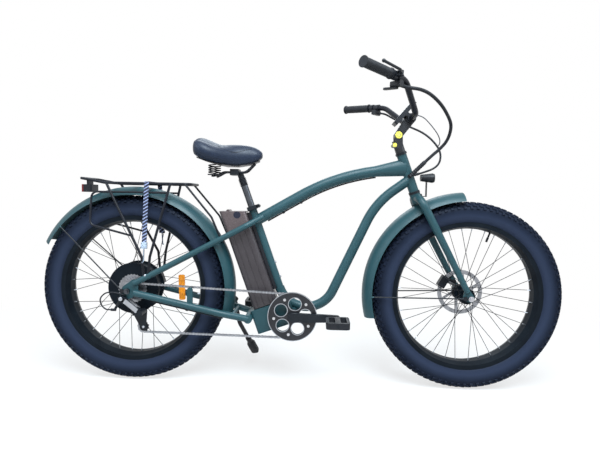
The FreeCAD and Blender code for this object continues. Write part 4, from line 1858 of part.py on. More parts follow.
def build():
    top = top_tube()
    down = down_tube(top)
    case = controller_case(down_tube_body())
    lower = chain_stays(case)
    upper = seat_stays(top, lower)
    stays = upper.fuse(lower)
    fork_body = fork()
    rack = rear_rack(stays)
    cover = saddle_cover()
    pan = saddle_pan(cover)
    left_rail, right_rail = saddle_rails()
    lever = brake_lever()
    rail = battery_rail().cut(seat_tube_body()).cut(down).cut(top).cut(upper)
    return {
        "head_tube": head_tube(), "top_tube": top, "down_tube": down, "seat_tube": seat_tube(),
        "seat_stays": upper, "chain_stays": lower, "controller_case": case,
        "frame_bearings": frame_bearings(),
        "seat_collar": seat_collar(), "battery_rail": rail,
        "rear_axle": rear_axle(), "rear_fender": rear_fender(), "rear_rack": rack,
        "tail_light": tail_light(rack),
        "luggage_strap": luggage_strap(), "rear_caliper": rear_caliper(stays),
        "frame_cables": frame_cables(top, lower), "chain": chain(), "kickstand_leg": kickstand_leg(),
        "battery_pack": battery_pack(), "seat_post": seat_post(),
        "seat_quick_release": seat_quick_release(),
        "seat_post_head": seat_post_head(left_rail.fuse(right_rail)),
        "seat_post_boot": seat_post_boot(), "saddle_frame": saddle_frame(pan),
        "saddle_springs": saddle_springs(pan),
        "saddle_cover": cover, "chainring": chainring(), "crank_arms": crank_arms(),
        "right_pedal": pedal(RIGHT),
        "left_pedal": pedal(LEFT), "rear_tyre": tyre(REAR_AXLE), "rear_rim": rim(REAR_AXLE),
        "hub_motor": hub_motor(),
        "rear_spokes": spokes(REAR_AXLE, MOTOR_HOLE_RADIUS, MOTOR_HALF_WIDTH, REAR_CROSSES),
        "rear_rotor": rotor(REAR_AXLE, REAR_ROTOR_SIDE), "cassette": cassette(),
        "spoke_reflector": spoke_reflector(),
        "derailleur_body": derailleur_body(), "derailleur_link": derailleur_link(),
        "derailleur_cage": derailleur_cage(),
        "guide_pulley": pulley(GUIDE), "tension_pulley": pulley(TENSION),
        "fork": group([fork_body, front_axle()]),
        "front_fender": front_fender(), "headlight": headlight(), "stem": stem(),
        "handlebar": handlebar(), "grips": grips(), "bar_controls": bar_controls(),
        "right_brake_lever": lever,
        "left_brake_lever": mirrored(lever), "shift_paddle": shift_paddle(), "front_tyre": tyre(FRONT_AXLE),
        "front_rim": rim(FRONT_AXLE), "front_hub": front_hub(),
        "front_spokes": spokes(FRONT_AXLE, FRONT_FLANGE_HOLE_RADIUS, FRONT_FLANGE_SIDE, FRONT_CROSSES),
        "front_rotor": rotor(FRONT_AXLE, FRONT_ROTOR_SIDE), "front_caliper": front_caliper(fork_body),
        "steering_cables": steering_cables(),
    }


os.makedirs("parts", exist_ok=True)
for name, shape in build().items():
    shape.exportStep("parts/" + name + ".step")
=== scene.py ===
"""Looks of an electric fat tyre cruiser bicycle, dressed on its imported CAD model.

Lengths are metres in the model's own frame: X forward, Y to the left, Z up from the ground.
"""

import logging
import math
from collections.abc import Callable, Iterable, Sequence
from dataclasses import dataclass, replace
from enum import Enum

import bpy
from mathutils import Matrix, Vector
from mathutils.bvhtree import BVHTree
from mathutils.kdtree import KDTree


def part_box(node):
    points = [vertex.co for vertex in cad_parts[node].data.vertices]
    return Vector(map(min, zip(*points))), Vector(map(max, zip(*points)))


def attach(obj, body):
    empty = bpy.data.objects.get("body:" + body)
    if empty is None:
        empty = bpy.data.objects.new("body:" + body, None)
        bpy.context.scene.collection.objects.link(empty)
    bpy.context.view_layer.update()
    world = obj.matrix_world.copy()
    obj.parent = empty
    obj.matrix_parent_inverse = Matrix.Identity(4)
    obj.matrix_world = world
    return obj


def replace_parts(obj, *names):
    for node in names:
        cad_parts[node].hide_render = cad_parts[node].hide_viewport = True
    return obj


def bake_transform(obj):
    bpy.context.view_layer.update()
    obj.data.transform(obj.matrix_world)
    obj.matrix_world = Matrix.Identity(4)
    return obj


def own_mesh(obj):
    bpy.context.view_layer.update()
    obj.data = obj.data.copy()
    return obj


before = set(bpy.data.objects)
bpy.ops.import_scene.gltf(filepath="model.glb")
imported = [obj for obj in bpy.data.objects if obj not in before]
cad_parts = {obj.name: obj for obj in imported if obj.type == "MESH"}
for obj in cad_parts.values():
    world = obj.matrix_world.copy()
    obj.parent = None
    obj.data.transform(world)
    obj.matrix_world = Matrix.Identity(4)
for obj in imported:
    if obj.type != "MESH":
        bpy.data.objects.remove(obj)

LOG = logging.getLogger("bicycle")
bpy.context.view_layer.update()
TURN = 2 * math.pi
X_AXIS = Vector((1, 0, 0))
Y_AXIS = Vector((0, 1, 0))
Z_AXIS = Vector((0, 0, 1))
ORIGIN = Vector((0, 0, 0))
ACROSS = tuple(Y_AXIS)
RIGHT, LEFT = -1, 1
FAR = 10.0

Pair = tuple[float, float]
Triple = tuple[float, float, float]
Colour = Triple
Socket = bpy.types.NodeSocket
Feed = Socket | float | Sequence[float]
Inputs = dict[int | str, Feed]

CLOUD_DETAIL, CLOUD_SPAN = 4.0, (0.35, 0.75)
GLOSS_DETAIL, GLOSS_SPAN = 3.0, (0.3, 0.7)
GLOSS_PER_CLOUD = 3
RELIEF_DETAIL = 2.0


class Slot(Enum):
    """Material slots."""

    FRAME_PAINT = "frame_paint"
    BLACK_PAINT = "black_paint"
    STEEL = "bare_steel"
    CHROME = "bright_chrome"
    BLACK_ALLOY = "black_alloy"
    SILVER_ALLOY = "silver_alloy"
    TREAD = "tread_rubber"
    RUBBER = "black_rubber"
    PLASTIC = "black_plastic"
    BATTERY = "battery_case"
    AMBER = "amber"
    RED = "red_lens"
    CUSHION = "cushion"


class Grain(Enum):
    """Patterns of fine relief on a surface."""

    PEEL = "soft rounded speckle"
    CELLS = "pebbled cells"
    BRUSHED = "fine lines along one way"
    PRISM = "square prisms"


class Nodes:
    """Node tree that is filled by short calls."""

    def __init__(self, tree: bpy.types.NodeTree) -> None:
        """Take a tree to fill."""
        self.tree = tree

    def feed(self, socket: Socket, value: Feed) -> None:
        """Set a socket's value, or link another socket to it.

        Args:
            socket: Input to feed.
            value: Its value, or the output to link to it.
        """
        if isinstance(value, bpy.types.NodeSocket):
            self.tree.links.new(value, socket)
        else:
            socket.default_value = value

    def fill(self, node: bpy.types.Node, inputs: Inputs) -> None:
        """Feed some inputs of a node."""
        for key, value in inputs.items():
            self.feed(node.inputs[key], value)

    def node(self, kind: str, inputs: Inputs | None = None, **settings: object) -> bpy.types.Node:
        """Add a node.

        Args:
            kind: Blender's name of the node type.
            inputs: Values or sockets for its inputs, by index or name.
            settings: Properties of the node.

        Returns:
            The node.
        """
        made = self.tree.nodes.new(kind)
        for key, value in settings.items():
            setattr(made, key, value)
        self.fill(made, inputs or {})
        return made


class Shader(Nodes):
    """Nodes of one material."""

    def __init__(self, name: str) -> None:
        """Start a material with its surface shader and object coordinates.

        Args:
            name: Name of the material.
        """
        self.material = bpy.data.materials.new(name)
        self.material.use_nodes = True
        super().__init__(self.material.node_tree)
        self.surface = self.tree.nodes["Principled BSDF"]
        self.place = self.node("ShaderNodeTexCoord").outputs["Object"]

    def face(self, inputs: Inputs) -> bpy.types.Material:
        """Feed the surface shader and give the material."""
        self.fill(self.surface, inputs)
        return self.material

    def math(self, operation: str, *values: Feed) -> Socket:
        """Result of a math node on up to three values."""
        return self.node("ShaderNodeMath", dict(enumerate(values)), operation=operation).outputs[0]

    def plus(self, value: Feed, share: Socket, change: float) -> Socket:
        """Value plus a share of a change."""
        return self.math("ADD", value, self.math("MULTIPLY", share, change))

    def vector(self, operation: str, output: str, *values: Feed) -> Socket:
        """Result of a vector math node on up to two vectors."""
        made = self.node("ShaderNodeVectorMath", dict(enumerate(values)), operation=operation)
        return made.outputs[output]

    def beside(self, away: Socket, axis: Triple) -> Socket:
        """Distance of a point from an axis, both from the same start."""
        return self.vector("LENGTH", "Value", self.vector("CROSS_PRODUCT", "Vector", away, axis))

    def span(self, value: Socket, start: float, end: float, low: float = 0.0, high: float = 1.0,
             **settings: object) -> Socket:
        """Value moved from the span start to end onto low to high, kept inside it."""
        inputs = {0: value, 1: start, 2: end, 3: low, 4: high}
        return self.node("ShaderNodeMapRange", inputs, **settings).outputs[0]

    def noise(self, size: float, detail: float, stretch: Triple = (1.0, 1.0, 1.0)) -> Socket:
        """Noise over the piece.

        Args:
            size: About the size of its marks.
            detail: Number of its finer layers.
            stretch: Scale of the coordinates along each axis.

        Returns:
            Noise from zero to one.
        """
        scaled = self.node("ShaderNodeMapping", {"Vector": self.place, "Scale": stretch}).outputs[0]
        inputs = {"Vector": scaled, "Scale": 1 / size, "Detail": detail}
        return self.node("ShaderNodeTexNoise", inputs).outputs[0]

    def bump(self, height: Socket, depth: float) -> Socket:
        """Normal of a relief that is so deep."""
        return self.node("ShaderNodeBump", {"Height": height, "Distance": depth}).outputs[0]

    def mixed(self, share: Feed, first: Feed, second: Feed) -> Socket:
        """Colour between two others."""
        inputs = {0: share, 6: first, 7: second}
        return self.node("ShaderNodeMix", inputs, data_type="RGBA").outputs[2]

    def split(self) -> bpy.types.NodeOutputs:
        """Object coordinates one by one."""
        return self.node("ShaderNodeSeparateXYZ", {0: self.place}).outputs

    def mirrored_place(self) -> Socket:
        """Object coordinates with the right side folded onto the left.

        Returns:
            The coordinates.
        """
        apart = self.split()
        inputs = {0: apart[0], 1: self.math("ABSOLUTE", apart[1]), 2: apart[2]}
        return self.node("ShaderNodeCombineXYZ", inputs).outputs[0]


@dataclass(frozen=True)
class Region:
    """Part of a piece, as a band along a direction and within a distance of an axis.

    Attributes:
        centre: Point that the band and the axis pass through.
        axis: Direction of both.
        low: Start of the band along the axis.
        radius: Greatest distance from the axis.
        both_sides: True where the right side copies the left.
    """

    centre: Triple
    axis: Triple = ACROSS
    low: float = -FAR
    radius: float = FAR
    both_sides: bool = False

    def mask(self, shader: Shader) -> Socket:
        """One inside the region and zero outside it.

        Args:
            shader: Material to add the nodes to.

        Returns:
            The mask.
        """
        place = shader.mirrored_place() if self.both_sides else shader.place
        away = shader.vector("SUBTRACT", "Vector", place, self.centre)
        axis = tuple(Vector(self.axis).normalized())
        along = shader.vector("DOT_PRODUCT", "Value", away, axis)
        return shader.math("MULTIPLY", shader.math("GREATER_THAN", along, self.low),
                           shader.math("LESS_THAN", shader.beside(away, axis), self.radius))


@dataclass(frozen=True)
class Ring:
    """Soft ring round a line across the bicycle.

    Attributes:
        centre: Point on the line.
        middle: Radius at which the ring is strongest.
        spread: Distance to either side at which it ends.
    """

    centre: Triple
    middle: float
    spread: float

    def mask(self, shader: Shader) -> Socket:
        """One in the ring's middle, falling to zero at its edges.

        Args:
            shader: Material to add the nodes to.

        Returns:
            The mask.
        """
        away = shader.vector("SUBTRACT", "Vector", shader.place, self.centre)
        off = shader.math("SUBTRACT", shader.beside(away, ACROSS), self.middle)
        return shader.span(shader.math("ABSOLUTE", off), 0.0, self.spread, 1.0, 0.0,
                           interpolation_type="SMOOTHSTEP")


@dataclass(frozen=True)
class Zone:
    """Other colour and gloss on part of a piece."""

    region: Region | Ring
    colour: Colour
    roughness: float
    metallic: float = 0.0


@dataclass(frozen=True)
class Finish:
    """Surface of one material.

    Attributes:
        name: Name of the material.
        slot: Material slot that it stands for; not used.
        colour: Main colour, linear.
        dusty: Colour of the paler or darker clouds in it, linear.
        roughness: Least and greatest roughness.
        metallic: Share of metal.
        grain: Pattern of its fine relief.
        grain_size: Size of one mark of the relief.
        grain_depth: Height of the relief.
        cloud_size: Size of the clouds.
        stretch: Scale of the relief's coordinates along each axis.
        coat: Share of clear coat.
        sheen: Strength of the plain reflection off its face.
        zones: Parts with another colour.
    """

    name: str
    slot: Slot
    colour: Colour
    dusty: Colour
    roughness: Pair
    metallic: float = 0.0
    grain: Grain = Grain.PEEL
    grain_size: float = 0.0008
    grain_depth: float = 0.00004
    cloud_size: float = 0.06
    stretch: Triple = (1.0, 1.0, 1.0)
    coat: float = 0.0
    sheen: float = 0.5
    zones: tuple[Zone, ...] = ()

    def relief(self, shader: Shader) -> Socket:
        """Height of the fine relief.

        Args:
            shader: Material to add the nodes to.

        Returns:
            Height from zero to one.
        """
        inputs = {"Vector": shader.place, "Scale": 1 / self.grain_size}
        if self.grain is Grain.CELLS:
            cells = shader.node("ShaderNodeTexVoronoi", inputs, feature="SMOOTH_F1")
            return cells.outputs["Distance"]
        if self.grain is Grain.PRISM:
            inputs["Randomness"] = 0.0
            prisms = shader.node("ShaderNodeTexVoronoi", inputs, distance="MANHATTAN")
            return prisms.outputs["Distance"]
        return shader.noise(self.grain_size, RELIEF_DETAIL, self.stretch)

    def build(self) -> bpy.types.Material:
        """Make the material, or give the one already made.

        Returns:
            The material.
        """
        known = bpy.data.materials.get(self.name)
        if known:
            return known
        shader = Shader(self.name)
        clouds = shader.span(shader.noise(self.cloud_size, CLOUD_DETAIL), *CLOUD_SPAN)
        colour = shader.mixed(clouds, (*self.colour, 1), (*self.dusty, 1))
        gloss = shader.noise(self.cloud_size / GLOSS_PER_CLOUD, GLOSS_DETAIL)
        roughness = shader.span(gloss, *GLOSS_SPAN, *self.roughness)
        metallic: Feed = self.metallic
        for zone in self.zones:
            mask = zone.region.mask(shader)
            colour = shader.mixed(mask, colour, (*zone.colour, 1))
            roughness = shader.plus(roughness, mask, zone.roughness - self.roughness[0])
            if zone.metallic != self.metallic:
                metallic = shader.plus(metallic, mask, zone.metallic - self.metallic)
        return shader.face({
            "Base Color": colour, "Roughness": roughness, "Metallic": metallic,
            "Coat Weight": self.coat, "Specular IOR Level": self.sheen,
            "Normal": shader.bump(self.relief(shader), self.grain_depth)})


PAINT = Finish(
    "grey_green_paint", Slot.FRAME_PAINT, (0.014, 0.049, 0.058), (0.019, 0.059, 0.070),
    (0.36, 0.46), grain_size=0.0012, grain_depth=0.00003, cloud_size=0.12, sheen=0.28)
BLACK_PAINT = Finish(
    "satin_black_paint", Slot.BLACK_PAINT, (0.005, 0.006, 0.009), (0.009, 0.010, 0.015),
    (0.30, 0.42), grain_depth=0.00003, sheen=0.22)
STEEL = Finish(
    "brushed_steel", Slot.STEEL, (0.36, 0.37, 0.40), (0.26, 0.27, 0.29), (0.25, 0.42), 1.0,
    Grain.BRUSHED, 0.0004, 0.00001, 0.02, (1.0, 1.0, 6.0))
SPOKE_STEEL = Finish(
    "black_spoke_steel", Slot.BLACK_PAINT, (0.006, 0.006, 0.008), (0.011, 0.011, 0.014),
    (0.32, 0.44), grain_size=0.0005, grain_depth=0.00001, sheen=0.2)
BLACK_ALLOY = Finish(
    "black_anodised_alloy", Slot.BLACK_ALLOY, (0.006, 0.008, 0.011), (0.011, 0.013, 0.017),
    (0.30, 0.42), grain_size=0.0005, grain_depth=0.00002, sheen=0.22)
RIM_ALLOY = replace(
    BLACK_ALLOY, name="black_rim_alloy", colour=(0.004, 0.006, 0.009),
    dusty=(0.007, 0.010, 0.014), roughness=(0.34, 0.46), sheen=0.07)
SILVER_ALLOY = Finish(
    "satin_alloy", Slot.SILVER_ALLOY, (0.50, 0.52, 0.56), (0.38, 0.40, 0.44), (0.28, 0.42), 1.0,
    Grain.BRUSHED, 0.0005, 0.00001, 0.03)
DARK_STEEL = Finish(
    "smoked_steel", Slot.STEEL, (0.075, 0.082, 0.095), (0.11, 0.12, 0.135), (0.24, 0.36), 1.0,
    Grain.BRUSHED, 0.0004, 0.00001, 0.03, (1.0, 1.0, 0.2))
TREAD = Finish(
    "tyre_rubber", Slot.TREAD, (0.006, 0.009, 0.018), (0.010, 0.014, 0.026), (0.42, 0.56),
    grain_size=0.0015, grain_depth=0.0001, cloud_size=0.08, sheen=0.06)
RUBBER = Finish(
    "matt_rubber", Slot.RUBBER, (0.006, 0.007, 0.010), (0.010, 0.011, 0.015), (0.50, 0.68),
    grain=Grain.CELLS, grain_size=0.0020, grain_depth=0.00010, sheen=0.3)
PLASTIC = replace(
    RUBBER, name="grained_black_plastic", slot=Slot.PLASTIC, roughness=(0.36, 0.50),
    grain_size=0.0010, grain_depth=0.00004)
GREY_LEAD = Finish(
    "grey_lead_sheath", Slot.RUBBER, (0.045, 0.047, 0.054), (0.065, 0.067, 0.075), (0.45, 0.60))
AMBER = Finish(
    "amber_reflector", Slot.AMBER, (0.74, 0.22, 0.006), (0.84, 0.29, 0.012), (0.16, 0.26),
    grain=Grain.PRISM, grain_size=0.0035, grain_depth=0.0007, cloud_size=0.01, coat=0.1,
    sheen=0.35)
# Black vinyl tinted blue: the tint is a painted reflection of blue sky light on the cover.
VINYL_WITH_PAINTED_SKY_TINT = Finish(
    "grained_black_vinyl", Slot.CUSHION, (0.007, 0.013, 0.028), (0.011, 0.018, 0.036),
    (0.38, 0.50), grain=Grain.CELLS, grain_size=0.0020, cloud_size=0.05, sheen=0.26)
GLASS = Finish(
    "dark_glass", Slot.PLASTIC, (0.004, 0.005, 0.007), (0.007, 0.008, 0.010), (0.05, 0.10),
    grain_depth=0.000002, coat=0.6)
LENS = Finish(
    "lamp_lens", Slot.CHROME, (0.62, 0.64, 0.66), (0.75, 0.76, 0.78), (0.08, 0.15), 0.5,
    Grain.PRISM, 0.004, 0.0005, 0.01, coat=1.0)


def linked(name: str, data: bpy.types.ID) -> bpy.types.Object:
    """New object of some data, in the scene.

    Args:
        name: Name of the object.
        data: Its mesh, curve, lamp or camera.

    Returns:
        The object.
    """
    made = bpy.data.objects.new(name, data)
    bpy.context.scene.collection.objects.link(made)
    return made


def evaluated(host: bpy.types.Object) -> bpy.types.Mesh:
    """Mesh that an object's modifiers or curve settings make of it."""
    graph = bpy.context.evaluated_depsgraph_get()
    return bpy.data.meshes.new_from_object(host.evaluated_get(graph))


def coat_node(node: str, material: bpy.types.Material) -> None:
    """Put one material all over a CAD node.

    Args:
        node: Name of the node.
        material: The material.
    """
    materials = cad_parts[node].data.materials
    if not materials:
        materials.append(None)
    for index in range(len(materials)):
        materials[index] = material
    LOG.info("dressed %s in %s", node, material.name)


def dress(finish: Finish, *nodes: str) -> None:
    """Give CAD nodes a finish."""
    for node in nodes:
        coat_node(node, finish.build())


def add_piece(name: str, mesh: bpy.types.Mesh, finish: Finish, body: str | None,
              sharp: float = 35.0) -> bpy.types.Object:
    """Put a mesh in the scene as a piece that rides on a body.

    Args:
        name: Name of the piece.
        mesh: Its mesh, in the model's frame.
        finish: Its finish.
        body: Body that it rides on, or None.
        sharp: Angle in degrees above which an edge stays sharp.

    Returns:
        The piece.
    """
    mesh.name = name
    mesh.shade_smooth()
    mesh.set_sharp_from_angle(angle=math.radians(sharp))
    mesh.materials.clear()
    mesh.materials.append(finish.build())
    piece = linked(name, mesh)
    if body:
        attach(piece, body)
    LOG.info("built %s", name)
    return piece


def faced(points: Iterable[Sequence[float]], faces: Iterable[Sequence[int]]) -> bpy.types.Mesh:
    """Mesh of points and faces.

    Args:
        points: Vertices.
        faces: Vertex numbers of each face.

    Returns:
        The mesh.
    """
    mesh = bpy.data.meshes.new("shape")
    mesh.from_pydata([tuple(point) for point in points], [], [tuple(face) for face in faces])
    mesh.validate()
    mesh.update()
    return mesh


def turned(profile: Sequence[Pair], centre: Vector, steps: int) -> bpy.types.Mesh:
    """Closed profile turned about a line across the bicycle.

    Args:
        profile: Pairs of side and radius, clockwise seen from the front.
        centre: Point on the line.
        steps: Steps of the turn.

    Returns:
        The mesh.
    """
    count = len(profile)
    points = []
    faces = []
    for step in range(steps):
        angle = TURN * step / steps
        out = Vector((math.cos(angle), 0, math.sin(angle)))
        points += [centre + out * radius + Y_AXIS * side for side, radius in profile]
        here, ahead = step * count, (step + 1) % steps * count
        for index in range(count):
            following = (index + 1) % count
            faces.append((here + index, here + following, ahead + following, ahead + index))
    return faced(points, faces)


def stacked(outline: Sequence[Pair], levels: Sequence[Pair]) -> bpy.types.Mesh:
    """Flat outline stacked into a closed solid.

    Args:
        outline: Corners, counterclockwise seen from above.
        levels: Pairs of height and scale of the outline, upwards.

    Returns:
        The mesh.
    """
    count = len(outline)
    points = [(x * scale, y * scale, height) for height, scale in levels for x, y in outline]
    faces = [tuple(reversed(range(count))), tuple(range(len(points) - count, len(points)))]
    for level in range(len(levels) - 1):
        low, high = level * count, (level + 1) * count
        for index in range(count):
            following = (index + 1) % count
            faces.append((low + index, low + following, high + following, high + index))
    return faced(points, faces)


def ring_of(count: int, radius: float = 1.0) -> list[Pair]:
    """Corners of a regular outline."""
    angles = [TURN * step / count for step in range(count)]
    return [(radius * math.cos(angle), radius * math.sin(angle)) for angle in angles]


@dataclass(frozen=True)
class Peg:
    """Small upright round solid.

    Attributes:
        corners: Corners of its outline.
        radius: Its radius.
        levels: Pairs of height and scale of the radius, upwards.
    """

    corners: int
    radius: float
    levels: tuple[Pair, ...]

    def mesh(self) -> bpy.types.Mesh:
        """Mesh of the solid."""
        return stacked(ring_of(self.corners, self.radius), self.levels)


NIPPLE = Peg(8, 0.0024, ((-0.001, 1.0), (0.0096, 0.9), (0.012, 0.6)))
VALVE = Peg(12, 0.0035, ((0.0, 1.3), (0.004, 1.3), (0.0045, 1.0), (0.022, 1.0), (0.0224, 1.25),
                         (0.0388, 1.2), (0.040, 0.9)))
PULLEY_SCREW = Peg(12, 0.0046, ((-0.001, 1.0), (0.0012, 1.0), (0.0018, 0.85), (0.0010, 0.5)))
HANGER_SCREW = replace(PULLEY_SCREW, radius=0.0075)
CAP_SCREW = Peg(10, 0.0042, ((-0.0015, 1.25), (0.0005, 1.25), (0.0007, 1.0), (0.0038, 1.0),
                             (0.0044, 0.8)))
STUD = Peg(6, 0.0016, ((-0.002, 1.0), (0.0006, 1.0), (0.0010, 0.7)))
LENS_DOME = Peg(24, 0.0165, ((-0.003, 1.0), (-0.0012, 0.96), (-0.0002, 0.7)))


def oblong(length: float, width: float) -> list[Pair]:
    """Corners of a rectangle about the origin."""
    corners = ((-1, -1), (1, -1), (1, 1), (-1, 1))
    return [(x * length / 2, y * width / 2) for x, y in corners]


def joined(meshes: Sequence[bpy.types.Mesh],
           places: Sequence[Matrix] | None = None) -> bpy.types.Mesh:
    """One mesh of several, each moved by its own matrix.

    Args:
        meshes: The meshes.
        places: Matrix of each, or None to leave them in place.

    Returns:
        The mesh.
    """
    points: list[Vector] = []
    faces: list[tuple[int, ...]] = []
    for index, mesh in enumerate(meshes):
        start = len(points)
        place = places[index] if places else Matrix.Identity(4)
        points += [place @ vertex.co for vertex in mesh.vertices]
        faces += [tuple(start + corner for corner in face.vertices) for face in mesh.polygons]
    return faced(points, faces)


def facing(place: Vector, up: Vector, along: Vector = X_AXIS,
           scale: Triple = (1.0, 1.0, 1.0)) -> Matrix:
    """Matrix that stands a shape at a place.

    Args:
        place: Where its origin goes.
        up: Where its Z axis points.
        along: Where its X axis points, as nearly as up allows.
        scale: Its size along its own axes.

    Returns:
        The matrix.
    """
    high = up.normalized()
    side = high.cross(along).normalized()
    turn = Matrix((side.cross(high), side, high)).transposed().to_4x4()
    return Matrix.Translation(place) @ turn @ Matrix.Diagonal((*scale, 1.0))


def strung(name: str, lines: Iterable[Sequence[Sequence[float]]], radius: float, steps: int,
           roundness: int, capped: bool) -> bpy.types.Mesh:
    """Smooth tube along each line of points.

    Args:
        name: Name of the curve.
        lines: Points that pull each line.
        radius: Radius of the tube, or zero for the line alone.
        steps: Steps between two points.
        roundness: Fineness of the tube's section.
        capped: True to close its ends.

    Returns:
        The mesh.
    """
    curve = bpy.data.curves.new(name, "CURVE")
    curve.dimensions = "3D"
    curve.resolution_u = steps
    curve.bevel_depth = radius
    curve.bevel_resolution = roundness
    curve.use_fill_caps = capped
    for line in lines:
        spline = curve.splines.new("NURBS")
        spline.points.add(len(line) - 1)
        for point, place in zip(spline.points, line):
            point.co = (*place, 1.0)
        spline.order_u = 3
        spline.use_endpoint_u = True
    host = linked(name, curve)
    mesh = evaluated(host)
    bpy.data.objects.remove(host)
    return mesh


def centre_of(node: str) -> Vector:
    """Middle of a CAD node's box."""
    low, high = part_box(node)
    return (low + high) / 2


def polar(centre: Vector, radius: float, degrees: float, side: float = 0.0) -> Vector:
    """Point about a line across the bicycle."""
    angle = math.radians(degrees)
    return Vector((centre.x + radius * math.cos(angle), centre.y + side,
                   centre.z + radius * math.sin(angle)))


class Repeater(Nodes):
    """Geometry Nodes tree that stands one small shape on every point of a host mesh."""

    TURN_NAME = "turn"
    SCALE_NAME = "scale"

    def __init__(self) -> None:
        """Build the tree with its named inputs."""
        super().__init__(bpy.data.node_groups.new("repeat_on_points", "GeometryNodeTree"))
        add = self.tree.interface.new_socket
        kinds = {"Geometry": "NodeSocketGeometry", "Shape": "NodeSocketObject",
                 "Finish": "NodeSocketMaterial"}
        self.sockets = {name: add(name, in_out="INPUT", socket_type=kind)
                        for name, kind in kinds.items()}
        add("Geometry", in_out="OUTPUT", socket_type=kinds["Geometry"])
        given = self.node("NodeGroupInput").outputs
        shape = self.node("GeometryNodeObjectInfo", {"Object": given["Shape"]})
        turn = self.node("FunctionNodeEulerToRotation", {0: self.attribute(self.TURN_NAME)})
        stand = self.node("GeometryNodeInstanceOnPoints", {
            "Points": given["Geometry"], "Instance": shape.outputs["Geometry"],
            "Rotation": turn.outputs[0], "Scale": self.attribute(self.SCALE_NAME)})
        real = self.node("GeometryNodeRealizeInstances", {0: stand.outputs[0]})
        finish = self.node("GeometryNodeSetMaterial", {
            "Geometry": real.outputs[0], "Material": given["Finish"]})
        self.node("NodeGroupOutput", {0: finish.outputs[0]})

    def attribute(self, name: str) -> Socket:
        """Vector attribute of the host's points."""
        made = self.node("GeometryNodeInputNamedAttribute", {"Name": name},
                         data_type="FLOAT_VECTOR")
        return made.outputs["Attribute"]

    def stand(self, name: str, shape: bpy.types.Mesh, places: Sequence[Matrix], finish: Finish,
              body: str) -> bpy.types.Object:
        """Stand a shape at many places and make the result one piece.

        Args:
            name: Name of the piece.
            shape: Small mesh to repeat.
            places: Matrix of each copy.
            finish: Finish of the piece.
            body: Body that it rides on.

        Returns:
            The piece.
        """
        template = linked(name + "_shape", shape)
        mesh = bpy.data.meshes.new(name + "_points")
        mesh.from_pydata([tuple(place.to_translation()) for place in places], [], [])
        for label, values in ((self.TURN_NAME, [place.to_euler() for place in places]),
                              (self.SCALE_NAME, [place.to_scale() for place in places])):
            attribute = mesh.attributes.new(label, "FLOAT_VECTOR", "POINT")
            numbers = [number for value in values for number in value]
            attribute.data.foreach_set("vector", numbers)
        host = linked(name + "_host", mesh)
        modifier = host.modifiers.new("repeat", "NODES")
        modifier.node_group = self.tree
        for label, value in (("Shape", template), ("Finish", finish.build())):
            modifier[self.sockets[label].identifier] = value
        made = evaluated(host)
        for spent in (host, template):
            bpy.data.objects.remove(spent)
        return add_piece(name, made, finish, body)


@dataclass(frozen=True)
class TreadRow:
    """One ring of tread blocks.

    Attributes:
        across: Angle round the casing's section, from the crown towards the left, in degrees.
        length: Length of a block along the tyre.
        width: Width of a block across it.
        lean: Turn of a block out of the running direction, in degrees.
        phase: Shift along the tyre, in shares of the spacing.
    """

    across: float
    length: float
    width: float
    lean: float
    phase: float


